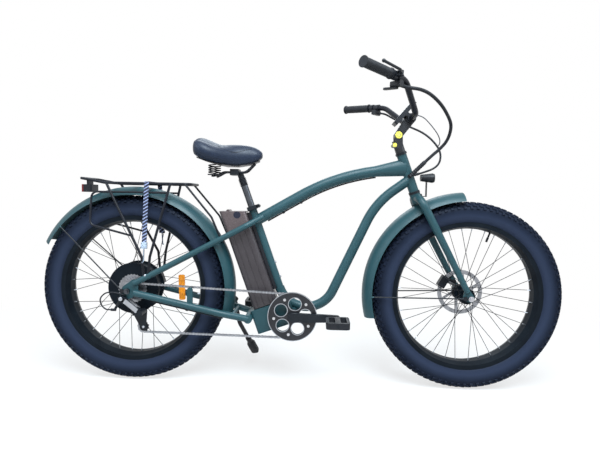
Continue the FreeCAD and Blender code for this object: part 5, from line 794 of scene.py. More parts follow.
@dataclass
class Tyre:
    """Fat tyre: a casing with ribbed walls, a painted highlight band round them, and rings of tread
    blocks.
    """

    node: str
    body: str
    repeater: Repeater
    blocks: int = 88
    block_height: float = 0.0042
    block_levels: tuple[Pair, ...] = ((-0.6, 1.12), (0.75, 1.0), (1.0, 0.86))
    squareness: float = 2.4
    crown_height: float = 0.042
    crown_step: int = 10
    bead_half: float = 0.0355
    bead_radius: float = 0.2865
    wall_steps: int = 12
    wall_rib: float = 0.0007
    rib_steps: tuple[int, ...] = (3, 9, 10)
    steps: int = 176
    sharp: float = 50.0
    # Painted highlight: a paler, glossier band round the wall's bulge, where light from above
    # catches it.
    painted_highlight_radius: float = 0.304
    painted_highlight_spread: float = 0.034
    painted_highlight_colour: Colour = (0.021, 0.028, 0.051)
    painted_highlight_roughness: float = 0.42
    rows: tuple[TreadRow, ...] = (
        TreadRow(8, 0.014, 0.009, 12, 0.0), TreadRow(-8, 0.014, 0.009, -12, 0.5),
        TreadRow(28, 0.012, 0.011, -14, 0.5), TreadRow(-28, 0.012, 0.011, 14, 0.0),
        TreadRow(48, 0.014, 0.011, 8, 0.0), TreadRow(-48, 0.014, 0.011, -8, 0.5),
        TreadRow(65, 0.010, 0.010, 0, 0.5), TreadRow(-65, 0.010, 0.010, 0, 0.0),
    )

    def __post_init__(self) -> None:
        """Take the section's sizes from the CAD tyre."""
        low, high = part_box(self.node)
        self.centre = centre_of(self.node)
        self.radius = (high.z - low.z) / 2
        self.widest = self.radius - self.crown_height
        self.casing_half = (high.y - low.y) / 2 - self.block_height / 4

    def rubber(self) -> Finish:
        """Rubber of the casing, paler where the wall bulges, as a painted highlight.

        Returns:
            The finish.
        """
        # Painted highlight band round the tyre's wall.
        painted_highlight_band = Ring(tuple(self.centre), self.painted_highlight_radius, self.painted_highlight_spread)
        zone = Zone(painted_highlight_band, self.painted_highlight_colour, self.painted_highlight_roughness)
        return replace(TREAD, name=self.node + "_rubber", zones=(zone,))

    def section(self, degrees: float) -> tuple[Vector, Vector]:
        """Point and outward direction on the casing's outer half, below the blocks.

        Args:
            degrees: Angle from the crown, negative to the right.

        Returns:
            Point and direction, as side and radius in Y and Z.
        """
        angle = math.radians(abs(degrees))
        way = 1 if degrees >= 0 else -1
        power, slope = 2 / self.squareness, self.squareness - 1
        wide, tall = self.casing_half, self.radius - self.widest - self.block_height
        side, rise = math.sin(angle) ** power, math.cos(angle) ** power
        out = Vector((0, way * side ** slope / wide, rise ** slope / tall))
        return Vector((0, way * side * wide, self.widest + rise * tall)), out.normalized()

    def wall(self) -> list[Pair]:
        """Left wall from its widest place to the bead, with its ribs.

        Returns:
            Pairs of side and radius.
        """
        reach = self.casing_half - self.bead_half
        drop = self.widest - self.bead_radius
        points = []
        for step in range(1, self.wall_steps + 1):
            angle = step / self.wall_steps * math.pi / 2
            rib = self.wall_rib if step in self.rib_steps else 0.0
            points.append((self.bead_half + reach * math.cos(angle) + rib,
                           self.widest - drop * math.sin(angle)))
        return points

    def casing(self) -> None:
        """Make the casing, in place of the CAD tyre."""
        crown = [self.section(degrees)[0] for degrees in range(-90, 91, self.crown_step)]
        right = [(-side, radius) for side, radius in reversed(self.wall())]
        profile = right + [(point.y, point.z) for point in crown] + self.wall()
        mesh = turned(profile, self.centre, self.steps)
        piece = add_piece(self.node + "_casing", mesh, self.rubber(), self.body, self.sharp)
        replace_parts(piece, self.node)

    def tread(self) -> None:
        """Stand the blocks of every row on the casing."""
        places = []
        for row in self.rows:
            point, out = self.section(row.across)
            for index in range(self.blocks):
                angle = TURN * (index + row.phase) / self.blocks
                radial = Vector((math.cos(angle), 0, math.sin(angle)))
                running = Vector((-math.sin(angle), 0, math.cos(angle)))
                up = radial * out.z + Y_AXIS * out.y
                lean = Matrix.Rotation(math.radians(row.lean), 3, up)
                place = self.centre + radial * point.z + Y_AXIS * point.y
                places.append(facing(place, up, lean @ running,
                                     (row.length, row.width, self.block_height)))
        shape = stacked(oblong(1.0, 1.0), self.block_levels)
        self.repeater.stand(self.node + "_tread", shape, places, TREAD, self.body)

    def build(self) -> None:
        """Make the casing and its tread."""
        self.casing()
        self.tread()


@dataclass
class Wheel:
    """Spoked wheel with its tyre, rim, hub, brake disc and spoke nipples."""

    end: str
    hub: str
    repeater: Repeater
    hole_radius: float
    crosses: int
    spokes_per_side: int = 18
    flange_side: float = 0.033
    outer_offset: float = 0.0048
    inner_offset: float = 0.0029
    rim_reach: float = 0.2613
    rim_side: float = 0.008
    valve_angle: float = 70.0
    valve_root: float = 0.002

    def __post_init__(self) -> None:
        """Take the wheel's centre from its rim."""
        self.body = self.end + "_wheel"
        self.centre = centre_of(self.end + "_rim")

    def nipples(self) -> None:
        """Stand a nipple at the rim end of every spoke."""
        step = 360 / self.spokes_per_side
        places = []
        for side in (LEFT, RIGHT):
            for index in range(self.spokes_per_side):
                way = 1 if index % 2 == 0 else -1
                offset = self.outer_offset if way == 1 else -self.inner_offset
                start = step * index + step / 4 * side
                hub = polar(self.centre, self.hole_radius, start,
                            side * (self.flange_side + offset))
                end = polar(self.centre, self.rim_reach, start + way * self.crosses * step,
                            side * self.rim_side)
                places.append(facing(end, hub - end, Y_AXIS))
        self.repeater.stand(self.end + "_spoke_nipples", NIPPLE.mesh(), places, SILVER_ALLOY,
                            self.body)

    def valve(self) -> None:
        """Black valve that stands in from the rim, with its cap."""
        place = polar(self.centre, self.rim_reach + self.valve_root, self.valve_angle)
        mesh = joined([VALVE.mesh()], [facing(place, self.centre - place, Y_AXIS)])
        add_piece(self.end + "_valve", mesh, RUBBER, self.body)

    def build(self) -> None:
        """Dress the wheel's nodes and add its tyre, nipples and valve."""
        dress(RIM_ALLOY, self.end + "_rim", self.hub)
        dress(SPOKE_STEEL, self.end + "_spokes")
        dress(STEEL, self.end + "_rotor")
        Tyre(self.end + "_tyre", self.body, self.repeater).build()
        self.nipples()
        self.valve()


@dataclass(frozen=True)
class Stop:
    """Toothed wheel that the chain runs round, with its sense of turning."""

    centre: Vector
    teeth: int
    sense: int


@dataclass
class ChainRun:
    """Roller chain of alternate inner and outer links round its toothed wheels."""

    repeater: Repeater
    pitch: float = 0.0127
    plate_height: float = 0.008
    plate_waist: float = 0.72
    plate_steps: int = 3
    plate: float = 0.0011
    inner_gap: float = 0.0021
    pin_radius: float = 0.0018
    pin_proud: float = 1.5
    pin_end: float = 0.8
    corners: int = 8
    roller_radius: float = 0.0037
    least_steps: int = 8
    steps_per_radian: int = 24

    def __post_init__(self) -> None:
        """Find the toothed wheels and the chain's line."""
        self.line = centre_of("chain").y
        wheels = (("chainring", 42, 1), ("rear_axle", 14, 1), ("guide_pulley", 10, -1),
                  ("tension_pulley", 10, 1))
        self.stops = [Stop(centre_of(node), teeth, sense) for node, teeth, sense in wheels]

    def radius(self, stop: Stop) -> float:
        """Radius of the chain round a wheel, negative where it turns the other way."""
        return stop.sense * self.pitch / (2 * math.sin(math.pi / stop.teeth))

    def on_line(self, stop: Stop) -> Vector:
        """Centre of a wheel, moved sideways to the chain's line."""
        return Vector((stop.centre.x, self.line, stop.centre.z))

    def runs(self) -> list[tuple[Vector, Vector]]:
        """Straight runs of the chain.

        Returns:
            Start and end of the run after each wheel.
        """
        lines = []
        for here, there in zip(self.stops, self.stops[1:] + self.stops[:1]):
            start, end = self.on_line(here), self.on_line(there)
            gap = end - start
            tilt = math.asin((self.radius(there) - self.radius(here)) / gap.length)
            angle = math.atan2(gap.z, gap.x) - tilt
            normal = Vector((-math.sin(angle), 0, math.cos(angle)))
            lines.append((start - normal * self.radius(here), end - normal * self.radius(there)))
        return lines

    def loop(self) -> list[Vector]:
        """Line of the whole chain.

        Returns:
            Closely spaced points round it.
        """
        lines = self.runs()
        points = []
        for index, stop in enumerate(self.stops):
            centre = self.on_line(stop)
            arrive, leave = lines[index - 1][1] - centre, lines[index][0] - centre
            start = math.atan2(arrive.z, arrive.x)
            sweep = stop.sense * (math.atan2(leave.z, leave.x) - start)
            turn = stop.sense * (sweep % TURN)
            steps = max(self.least_steps, int(abs(turn) * self.steps_per_radian))
            for step in range(steps + 1):
                angle = math.degrees(start + turn * step / steps)
                points.append(polar(centre, abs(self.radius(stop)), angle))
        return points

    def pins(self) -> list[Vector]:
        """Places of the pins, an even number, one pitch apart.

        Returns:
            The places, in order.
        """
        loop = self.loop()
        loop.append(loop[0])
        ends = [0.0]
        for first, second in zip(loop, loop[1:]):
            ends.append(ends[-1] + (second - first).length)
        count = 2 * round(ends[-1] / self.pitch / 2)
        places, index = [], 0
        for link in range(count):
            reach = ends[-1] * link / count
            while ends[index + 1] < reach:
                index += 1
            share = (reach - ends[index]) / (ends[index + 1] - ends[index])
            places.append(loop[index].lerp(loop[index + 1], share))
        return places

    def plates(self, gap: float) -> bpy.types.Mesh:
        """Two waisted plates of a link.

        Args:
            gap: Distance of their inner faces from the chain's line.

        Returns:
            The mesh.
        """
        half, high = self.pitch / 2, self.plate_height / 2
        outline = []
        for way in (1, -1):
            for step in range(-self.plate_steps, self.plate_steps + 1):
                angle = math.pi / 2 / self.plate_steps * step
                outline.append((way * (half + high * math.cos(angle)),
                                way * high * math.sin(angle)))
            outline.append((0.0, way * high * self.plate_waist))
        plate = stacked(outline, [(0.0, 1.0), (self.plate, 1.0)])
        lift = [Matrix.Translation((0, 0, height)) for height in (gap, -gap - self.plate)]
        return joined([plate, plate], lift)

    def build(self) -> None:
        """Make the links and pins in place of the CAD chain."""
        pins = self.pins()
        links = [facing((first + second) / 2, Y_AXIS, second - first)
                 for first, second in zip(pins, pins[1:] + pins[:1])]
        gap, outer_gap = self.inner_gap, self.inner_gap + self.plate
        stand = self.repeater.stand
        inner = stand("chain_inner_links", self.plates(gap), links[0::2], STEEL, "frame")
        stand("chain_outer_links", self.plates(outer_gap), links[1::2], STEEL, "frame")
        reach = outer_gap + self.plate * self.pin_proud
        pin = Peg(self.corners, self.pin_radius, (
            (-reach, self.pin_end), (-outer_gap, 1.0), (outer_gap, 1.0), (reach, self.pin_end)))
        roller = Peg(self.corners, self.roller_radius, ((-gap, 1.0), (gap, 1.0)))
        places = [facing(place, Y_AXIS) for place in pins]
        stand("chain_pins", joined([pin.mesh(), roller.mesh()]), places, SILVER_ALLOY, "frame")
        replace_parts(inner, "chain")


@dataclass
class Drivetrain:
    """Chainring, cranks, pedals, cassette, derailleur and chain."""

    repeater: Repeater
    hole_reach: float = 0.050
    hole_radius: float = 0.024
    hole_turn: float = 7.0
    holes: int = 5
    rim_width: float = 0.0022
    rim_sink: float = 0.0002
    rim_rise: float = 0.0006
    rim_steps: int = 96
    window_steps: int = 40
    guard_radius: float = 0.0948
    guard_face: float = -0.0804
    bolt_reach: float = 0.071
    bolt_turn: float = 43.0
    bolt_radius: float = 0.0055
    ring_side: float = 0.0065
    stud_inset: float = 0.004
    studs: int = 6
    cage_face: float = -0.0770
    hanger: Triple = (-0.6730, -0.1080, 0.3380)

    def derailleur_screws(self) -> None:
        """Bright screws at the pulleys and at the hanger, facing right."""
        centres = [centre_of(node) for node in ("guide_pulley", "tension_pulley")]
        pulleys = [Vector((centre.x, self.cage_face, centre.z)) for centre in centres]
        for name, head, places, body in (
                ("pulley_screws", PULLEY_SCREW, pulleys, "cage"),
                ("hanger_screw", HANGER_SCREW, [Vector(self.hanger)], "frame")):
            stands = [facing(place, -Y_AXIS) for place in places]
            self.repeater.stand(name, head.mesh(), stands, SILVER_ALLOY, body)

    def edge(self, inner: float, outer: float) -> list[Pair]:
        """Profile of a thin bright edge, as pairs of side and radius."""
        return [(0.0, inner), (0.0, outer), (self.rim_rise, outer), (self.rim_rise, inner)]

    def guard_rings(self) -> None:
        """Bright edges round the windows and the rim of the chain guard."""
        centre = centre_of("chainring")
        face = max(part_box("chainring")[0].y, self.guard_face)
        window = self.edge(self.hole_radius - self.rim_sink, self.hole_radius + self.rim_width)
        places = []
        for index in range(self.holes):
            place = polar(centre, self.hole_reach, 360 / self.holes * index + self.hole_turn)
            places.append(Matrix.Translation((place.x, face, place.z)))
        self.repeater.stand("guard_window_edges", turned(window, ORIGIN, self.window_steps),
                            places, SILVER_ALLOY, "cranks")
        rim = self.edge(self.guard_radius - self.rim_width - self.rim_sink, self.guard_radius)
        mesh = turned(rim, Vector((centre.x, face, centre.z)), self.rim_steps)
        add_piece("guard_outer_edge", mesh, SILVER_ALLOY, "cranks")

    def pedal_studs(self, side: str) -> None:
        """Grip studs along both treads of a pedal.

        Args:
            side: Name of the pedal's side.
        """
        low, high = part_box(side + "_pedal")
        places = []
        for index in range(self.studs):
            y = low.y + (high.y - low.y) * (index + 0.5) / self.studs
            for x in (low.x + self.stud_inset, high.x - self.stud_inset):
                places.append(facing(Vector((x, y, high.z)), Z_AXIS))
                places.append(facing(Vector((x, y, low.z)), -Z_AXIS))
        self.repeater.stand(side + "_pedal_studs", STUD.mesh(), places, BLACK_ALLOY,
                            "pedal_" + side)

    def guard_finish(self) -> Finish:
        """Black guard with bright bolts, and a steel ring behind it.

        Returns:
            The finish.
        """
        bracket = centre_of("chainring")
        zones = []
        for index in range(self.holes):
            place = polar(bracket, self.bolt_reach, 360 / self.holes * index + self.bolt_turn)
            bolt = Region(tuple(place), radius=self.bolt_radius)
            zones.append(Zone(bolt, (0.60, 0.60, 0.62), 0.25, 1.0))
        ring = Region(tuple(bracket), low=self.ring_side)
        zones.append(Zone(ring, (0.35, 0.35, 0.36), 0.3, 1.0))
        return Finish("guard_and_ring", Slot.BLACK_ALLOY, (0.012, 0.012, 0.015),
                      (0.020, 0.020, 0.024), (0.28, 0.40), 0.3, zones=tuple(zones))

    def build(self) -> None:
        """Dress the drivetrain and add its chain, edges, screws and studs."""
        dress(self.guard_finish(), "chainring")
        dress(BLACK_ALLOY, "crank_arms", "derailleur_body", "derailleur_cage")
        dress(PLASTIC, "right_pedal", "left_pedal", "guide_pulley", "tension_pulley")
        dress(SILVER_ALLOY, "derailleur_link")
        dress(STEEL, "cassette")
        ChainRun(self.repeater).build()
        self.guard_rings()
        self.derailleur_screws()
        self.pedal_studs("right")
        self.pedal_studs("left")


@dataclass(frozen=True)
class Cord:
    """Cable or bundle of cables at the handlebar.

    Attributes:
        name: Name of the piece.
        radius: Radius of the housing.
        route: Points of its line, from the bar towards the frame.
        wrap: Length of the spiral wrap at its far end.
        still: Point where it would follow the frame wholly, or None for its far end; not used.
        wrap_pitch: Spacing of the ridges of the wrap.
        wrap_size: Size of the wrap between its ridges, in shares of the housing's.
        wrap_rise: Share by which a ridge stands out.
        fine_steps: Steps between two points where it is wrapped.
        plain_steps: Steps between two points where it isn't.
        roundness: Fineness of its section.
    """

    name: str
    radius: float
    route: tuple[Triple, ...]
    wrap: float = 0.0
    still: Triple | None = None
    wrap_pitch: float = 0.0085
    wrap_size: float = 1.2
    wrap_rise: float = 0.30
    fine_steps: int = 40
    plain_steps: int = 12
    roundness: int = 4

    def line(self, bevel: float) -> bpy.types.Mesh:
        """Mesh of the smooth line, bare for a bevel of zero or as a tube."""
        steps = self.fine_steps if self.wrap else self.plain_steps
        return strung(self.name + "_line", [self.route], bevel, steps, self.roundness, True)

    def tube(self, path: Sequence[Vector]) -> bpy.types.Mesh:
        """Tube along the line, with the ridges of its wrap.

        Args:
            path: Points of the smooth line.

        Returns:
            The mesh.
        """
        mesh = self.line(self.radius)
        tree = KDTree(len(path))
        for index, point in enumerate(path):
            tree.insert(point, index)
        tree.balance()
        left = [0.0] * len(path)
        for index in range(len(path) - 2, -1, -1):
            left[index] = left[index + 1] + (path[index + 1] - path[index]).length
        for vertex in mesh.vertices:
            middle, index, _ = tree.find(vertex.co)
            if left[index] < self.wrap:
                ridge = 0.5 + 0.5 * math.cos(TURN * left[index] / self.wrap_pitch)
                size = self.wrap_size + self.wrap_rise * ridge
                vertex.co = middle + (vertex.co - middle) * size
        return mesh

    def build(self, finish: Finish) -> bpy.types.Object:
        """Make the cable in place in the model's frame.

        Args:
            finish: Finish of the housing.

        Returns:
            The piece.
        """
        path = [vertex.co.copy() for vertex in self.line(0.0).vertices]
        piece = add_piece(self.name, self.tube(path), finish, None)
        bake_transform(piece)
        return piece


SLEEVE = Cord("control_sleeve", 0.006, (
    (0.3322, -0.2454, 1.1135), (0.3512, -0.2278, 1.1114), (0.4192, -0.2250, 1.1048),
    (0.4812, -0.1850, 1.0728), (0.5282, -0.1350, 1.0318), (0.5482, -0.1050, 1.0018),
    (0.5452, -0.0750, 0.9588), (0.5232, -0.0560, 0.9278), (0.4892, -0.0450, 0.8978),
    (0.4211, -0.0280, 0.8260)), wrap=0.075)
LEFT_LEAD = Cord("left_control_lead", 0.004, (
    (0.3322, 0.2454, 1.1135), (0.3512, 0.2278, 1.1114), (0.3852, 0.2150, 1.0888),
    (0.4332, 0.1400, 1.0448), (0.4942, 0.0620, 1.0018), (0.5412, 0.0440, 0.9498),
    (0.5552, 0.0410, 0.9108), (0.5442, 0.0390, 0.8708), (0.4962, 0.0380, 0.8458),
    (0.4211, 0.0260, 0.8260)), wrap=0.05)
DISPLAY_LEAD = Cord("display_lead", 0.002, (
    (0.4286, -0.0300, 1.0563), (0.4570, -0.0300, 1.0570), (0.4960, -0.0300, 1.0170),
    (0.5270, -0.0200, 0.9810), (0.5412, 0.0100, 0.9558), (0.5412, 0.0405, 0.9498)),
    still=(0.5699, 0.0585, 0.9227))


@dataclass
class Cockpit:
    """Handlebar, stem, grips, brake levers, display, headlight and cables."""

    repeater: Repeater
    plugs: tuple[tuple[Triple, float, float], ...] = (
        ((0.3745, 0.0, 0.9827), 0.0189, 0.0135), ((0.3600, 0.0, 0.9440), 0.0178, 0.0086))
    plug_roughness: float = 0.35
    # Yellow rings of each plug; the darker middle ring is painted shade standing for its recess.
    plug_rings_with_painted_shade: tuple[tuple[float, Colour], ...] = (
        (1.0, (0.76, 0.66, 0.09)), (0.55, (0.30, 0.27, 0.07)), (0.40, (0.72, 0.64, 0.14)))
    bar_centre: Triple = (0.419233, 0.0, 1.046806)
    screen_along: Triple = (0.643, 0.0, 0.766)
    screen_up: Triple = (-0.766, 0.0, 0.643)
    screen_lift: float = 0.0402
    screen_size: Triple = (0.096, 0.050, 0.0012)
    screen_levels: tuple[Pair, ...] = ((-1.0, 1.0), (0.4, 1.0), (0.5, 0.985))
    lens_drop: float = 0.019
    grip_inner: Triple = (0.293918, -0.280752, 1.141270)
    bar_run: Triple = (-0.73246, -0.67612, 0.07982)
    grip_radius: float = 0.0160
    grip_length: float = 0.132
    grip_ribs: int = 22
    first_rib: float = 0.14
    rib_share: float = 0.72
    rib_steps: int = 32
    rib_profile: tuple[Pair, ...] = (
        (-0.0012, -0.0003), (0.0012, -0.0003), (0.0006, 0.0003), (-0.0006, 0.0003))

    def stem_finish(self) -> Finish:
        """Black stem with yellow plugs at its pivot and pinch, each with a darker ring of painted
        shade for its recess.

        Returns:
            The finish.
        """
        zones = []
        for place, side, radius in self.plugs:
            for share, colour in self.plug_rings_with_painted_shade:
                region = Region(place, low=side, radius=radius * share, both_sides=True)
                zones.append(Zone(region, colour, self.plug_roughness))
        return Finish("stem_with_plugs", Slot.BLACK_ALLOY, (0.014, 0.015, 0.018),
                      (0.022, 0.023, 0.027), (0.28, 0.40), 0.3, grain_size=0.0005,
                      grain_depth=0.00002, zones=tuple(zones))

    def screen(self) -> None:
        """Dark glass let into the top of the display."""
        along, up = Vector(self.screen_along), Vector(self.screen_up)
        length, width, thick = self.screen_size
        levels = [(thick * share, scale) for share, scale in self.screen_levels]
        place = facing(Vector(self.bar_centre) + up * self.screen_lift, up, along)
        mesh = joined([stacked(oblong(length, width), levels)], [place])
        add_piece("display_glass", mesh, GLASS, "steering")

    def lamp_glass(self) -> None:
        """Ribbed lens at the front of the headlight."""
        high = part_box("headlight")[1]
        place = facing(Vector((high.x, 0, high.z - self.lens_drop)), X_AXIS, Z_AXIS)
        add_piece("headlight_lens", joined([LENS_DOME.mesh()], [place]), LENS, "steering")

    def ribs(self) -> None:
        """Fine raised rings along both grips."""
        profile = [(side, self.grip_radius + rise) for side, rise in self.rib_profile]
        places = []
        for way in (1, -1):
            start, run = (Vector((x, way * y, z)) for x, y, z in (self.grip_inner, self.bar_run))
            side = run.cross(Z_AXIS).normalized()
            turn = Matrix((side, run, side.cross(run))).transposed().to_4x4()
            for index in range(self.grip_ribs):
                share = self.first_rib + self.rib_share * index / (self.grip_ribs - 1)
                place = start + run * (self.grip_length * share)
                places.append(Matrix.Translation(place) @ turn)
        ring = turned(profile, ORIGIN, self.rib_steps)
        self.repeater.stand("grip_ribs", ring, places, RUBBER, "steering")

    def build(self) -> None:
        """Dress the cockpit and add its cables, screen, lens and grip ribs."""
        dress(self.stem_finish(), "stem")
        dress(BLACK_PAINT, "handlebar")
        dress(RUBBER, "grips", "frame_cables")
        dress(PLASTIC, "bar_controls", "shift_paddle", "headlight")
        dress(BLACK_ALLOY, "right_brake_lever", "left_brake_lever", "front_caliper")
        cords = ((SLEEVE, RUBBER), (LEFT_LEAD, RUBBER), (DISPLAY_LEAD, GREY_LEAD))
        for cord, finish in cords:
            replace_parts(cord.build(finish), "steering_cables")
        self.screen()
        self.lamp_glass()
        self.ribs()


@dataclass
class Saddle:
    """Sprung saddle: a padded cover blown up over its CAD form, on rails and coil springs."""

    voxel: float = 0.004
    shrink: float = 0.985
    sharp: float = 60.0
    pressure: float = 0.8
    stiffness: float = 40.0
    bending: float = 8.0
    quality: int = 6
    frames: int = 20
    most_move: float = 0.0025
    dip_place: float = 0.37
    dip_spread: float = 0.13
    dip_depth: float = 0.007
    post_up: Triple = (-0.342020, 0.0, 0.939693)
    post_travel: float = 0.020
    seam_radius: float = 0.0009
    seam_start: float = 0.2
    seam_steps: int = 12
    seam_roundness: int = 2
    seam_shares: tuple[Pair, ...] = (
        (0.36, 0.66), (0.42, 0.60), (0.48, 0.52), (0.54, 0.46), (0.60, 0.44), (0.66, 0.46),
        (0.72, 0.52), (0.78, 0.57), (0.84, 0.58))

    def cushion(self) -> bpy.types.Object:
        """Padded cover in place of the CAD cushion.

        Returns:
            The piece.
        """
        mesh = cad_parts["saddle_cover"].data.copy()
        middle = centre_of("saddle_cover")
        for vertex in mesh.vertices:
            vertex.co = middle + (vertex.co - middle) * self.shrink
        piece = linked("saddle_cushion", mesh)
        remesh = piece.modifiers.new("even", "REMESH")
        remesh.mode = "VOXEL"
        remesh.voxel_size = self.voxel
        self.keep(piece)
        self.hollow(piece)
        self.inflate(piece)
        smooth = piece.modifiers.new("soft", "SUBSURF")
        smooth.levels = smooth.render_levels = 1
        self.keep(piece)
        final = piece.data
        bpy.data.objects.remove(piece)
        return add_piece("saddle_cushion", final, VINYL_WITH_PAINTED_SKY_TINT, "saddle", self.sharp)

    def keep(self, piece: bpy.types.Object) -> None:
        """Replace a piece's mesh by what its modifiers make of it.

        Args:
            piece: The piece, changed in place.
        """
        made = evaluated(piece)
        piece.modifiers.clear()
        piece.data = made

    def hollow(self, piece: bpy.types.Object) -> None:
        """Press the sitter's hollow into the top, ahead of the raised tail.

        Args:
            piece: The cover, changed in place.
        """
        low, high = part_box("saddle_cover")
        for vertex in piece.data.vertices:
            along = (vertex.co.x - low.x) / (high.x - low.x)
            rise = max(0.0, 2 * (vertex.co.z - low.z) / (high.z - low.z) - 1)
            dip = math.exp(-((along - self.dip_place) / self.dip_spread) ** 2)
            vertex.co.z -= self.dip_depth * dip * min(1.0, 2 * rise)

    def inflate(self, piece: bpy.types.Object) -> None:
        """Blow the cover up a little, as foam under vinyl does.

        Args:
            piece: The cover, changed in place.
        """
        scene = bpy.context.scene
        rest = [vertex.co.copy() for vertex in piece.data.vertices]
        cloth = piece.modifiers.new("blow", "CLOTH")
        settings = cloth.settings
        settings.use_pressure = True
        settings.uniform_pressure_force = self.pressure
        settings.tension_stiffness = settings.compression_stiffness = self.stiffness
        settings.bending_stiffness = self.bending
        settings.quality = self.quality
        settings.effector_weights.gravity = 0.0
        cloth.point_cache.frame_start, cloth.point_cache.frame_end = 1, self.frames
        for step in range(1, self.frames + 1):
            scene.frame_set(step)
        self.keep(piece)
        scene.frame_set(1)
        for vertex, start in zip(piece.data.vertices, rest):
            move = vertex.co - start
            if move.length > self.most_move:
                vertex.co = start + move.normalized() * self.most_move

    def seam(self, cushion: bpy.types.Object) -> None:
        """Piped seam along each flank of the cover, laid on its surface.

        Args:
            cushion: The cover.
        """
        tree = BVHTree.FromObject(cushion, bpy.context.evaluated_depsgraph_get())
        low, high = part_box("saddle_cover")
        long, tall = high.x - low.x, high.z - low.z
        lines = []
        for side in (LEFT, RIGHT):
            starts = [Vector((low.x + long * along, side * self.seam_start, low.z + tall * rise))
                      for along, rise in self.seam_shares]
            hits = [tree.ray_cast(start, -Y_AXIS * side)[0] for start in starts]
            lines.append([hit for hit in hits if hit])
        mesh = strung("saddle_seam_line", lines, self.seam_radius, self.seam_steps,
                      self.seam_roundness, False)
        add_piece("saddle_seam", mesh, RUBBER, "saddle")

    def bellows(self) -> None:
        """Ribbed boot that rides on the saddle, in place of the CAD boot."""
        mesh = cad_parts["seat_post_boot"].data.copy()
        piece = add_piece("seat_post_bellows", mesh, RUBBER, "saddle")
        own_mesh(piece)
        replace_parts(piece, "seat_post_boot")

    def build(self) -> None:
        """Dress the saddle's nodes and add its cushion, seam and boot."""
        cushion = self.cushion()
        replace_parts(cushion, "saddle_cover")
        self.seam(cushion)
        dress(BLACK_PAINT, "saddle_frame", "saddle_springs")
        dress(DARK_STEEL, "seat_post")
        dress(BLACK_ALLOY, "seat_post_head", "seat_collar", "seat_quick_release")
        self.bellows()


@dataclass
class Luggage:
    """Rear rack with its tail light and striped strap."""

    hook_top: float = 0.557
    hook_colour: Colour = (0.22, 0.26, 0.32)
    stripe: float = 0.014
    stripe_lean: Pair = (-0.7, 0.9)
    navy_share: float = 0.70
    navy: Colour = (0.004, 0.006, 0.022)
    pale: Colour = (0.26, 0.30, 0.48)
    cloth_roughness: float = 0.75
    metal_gloss: float = -0.4
    weave_scale: float = 400.0
    weave_depth: float = 0.0002
    lens_face: float = 0.010
    lens_colour: Colour = (0.16, 0.007, 0.008)
    lens_roughness: float = 0.15

    def strap_finish(self) -> bpy.types.Material:
        """Navy webbing with pale diagonal stripes and bare metal ends.

        Returns:
            The material.
        """
        shader = Shader("striped_webbing")
        x, y, z = shader.split()
        run = shader.plus(shader.plus(z, x, self.stripe_lean[0]), y, self.stripe_lean[1])
        wave = shader.math("FRACT", shader.math("DIVIDE", run, self.stripe))
        stripes = shader.math("GREATER_THAN", wave, self.navy_share)
        cloth = shader.mixed(stripes, (*self.navy, 1), (*self.pale, 1))
        metal = shader.math("LESS_THAN", z, self.hook_top)
        weave = shader.node("ShaderNodeTexWave", {"Vector": shader.place,
                                                  "Scale": self.weave_scale},
                            bands_direction="DIAGONAL")
        return shader.face({
            "Base Color": shader.mixed(metal, cloth, (*self.hook_colour, 1)), "Metallic": metal,
            "Roughness": shader.plus(self.cloth_roughness, metal, self.metal_gloss),
            "Normal": shader.bump(weave.outputs[1], self.weave_depth)})

    def build(self) -> None:
        """Dress the rack, light and strap."""
        dress(BLACK_PAINT, "rear_rack")
        face = Region(tuple(centre_of("tail_light")), (-1.0, 0.0, 0.0), low=self.lens_face)
        lens = Zone(face, self.lens_colour, self.lens_roughness)
        light = replace(PLASTIC, name="tail_light_case", slot=Slot.RED, zones=(lens,))
        dress(light, "tail_light")
        coat_node("luggage_strap", self.strap_finish())


@dataclass
class Power:
    """Battery on its rail behind the seat tube, and the controller case below it."""

    cap_seam: Triple = (-0.2368, 0.0, 0.6035)
    seat_up: Triple = (-0.342, 0.0, 0.9397)
    lock: Triple = (-0.2429, 0.0, 0.6640)
    lock_radius: float = 0.014

    def build(self) -> None:
        """Dress the battery and the controller case."""
        cap = Zone(Region(self.cap_seam, self.seat_up, low=0.0), (0.105, 0.080, 0.082), 0.22, 0.4)
        lock = Zone(Region(self.lock, radius=self.lock_radius), (0.014, 0.017, 0.034), 0.25)
        case = Finish("battery_case_finish", Slot.BATTERY, (0.027, 0.021, 0.024),
                      (0.036, 0.029, 0.032), (0.32, 0.42), grain=Grain.CELLS, grain_size=0.0012,
                      zones=(cap, lock))
        dress(case, "battery_pack")
        dress(PLASTIC, "battery_rail")
        dress(PAINT, "controller_case")


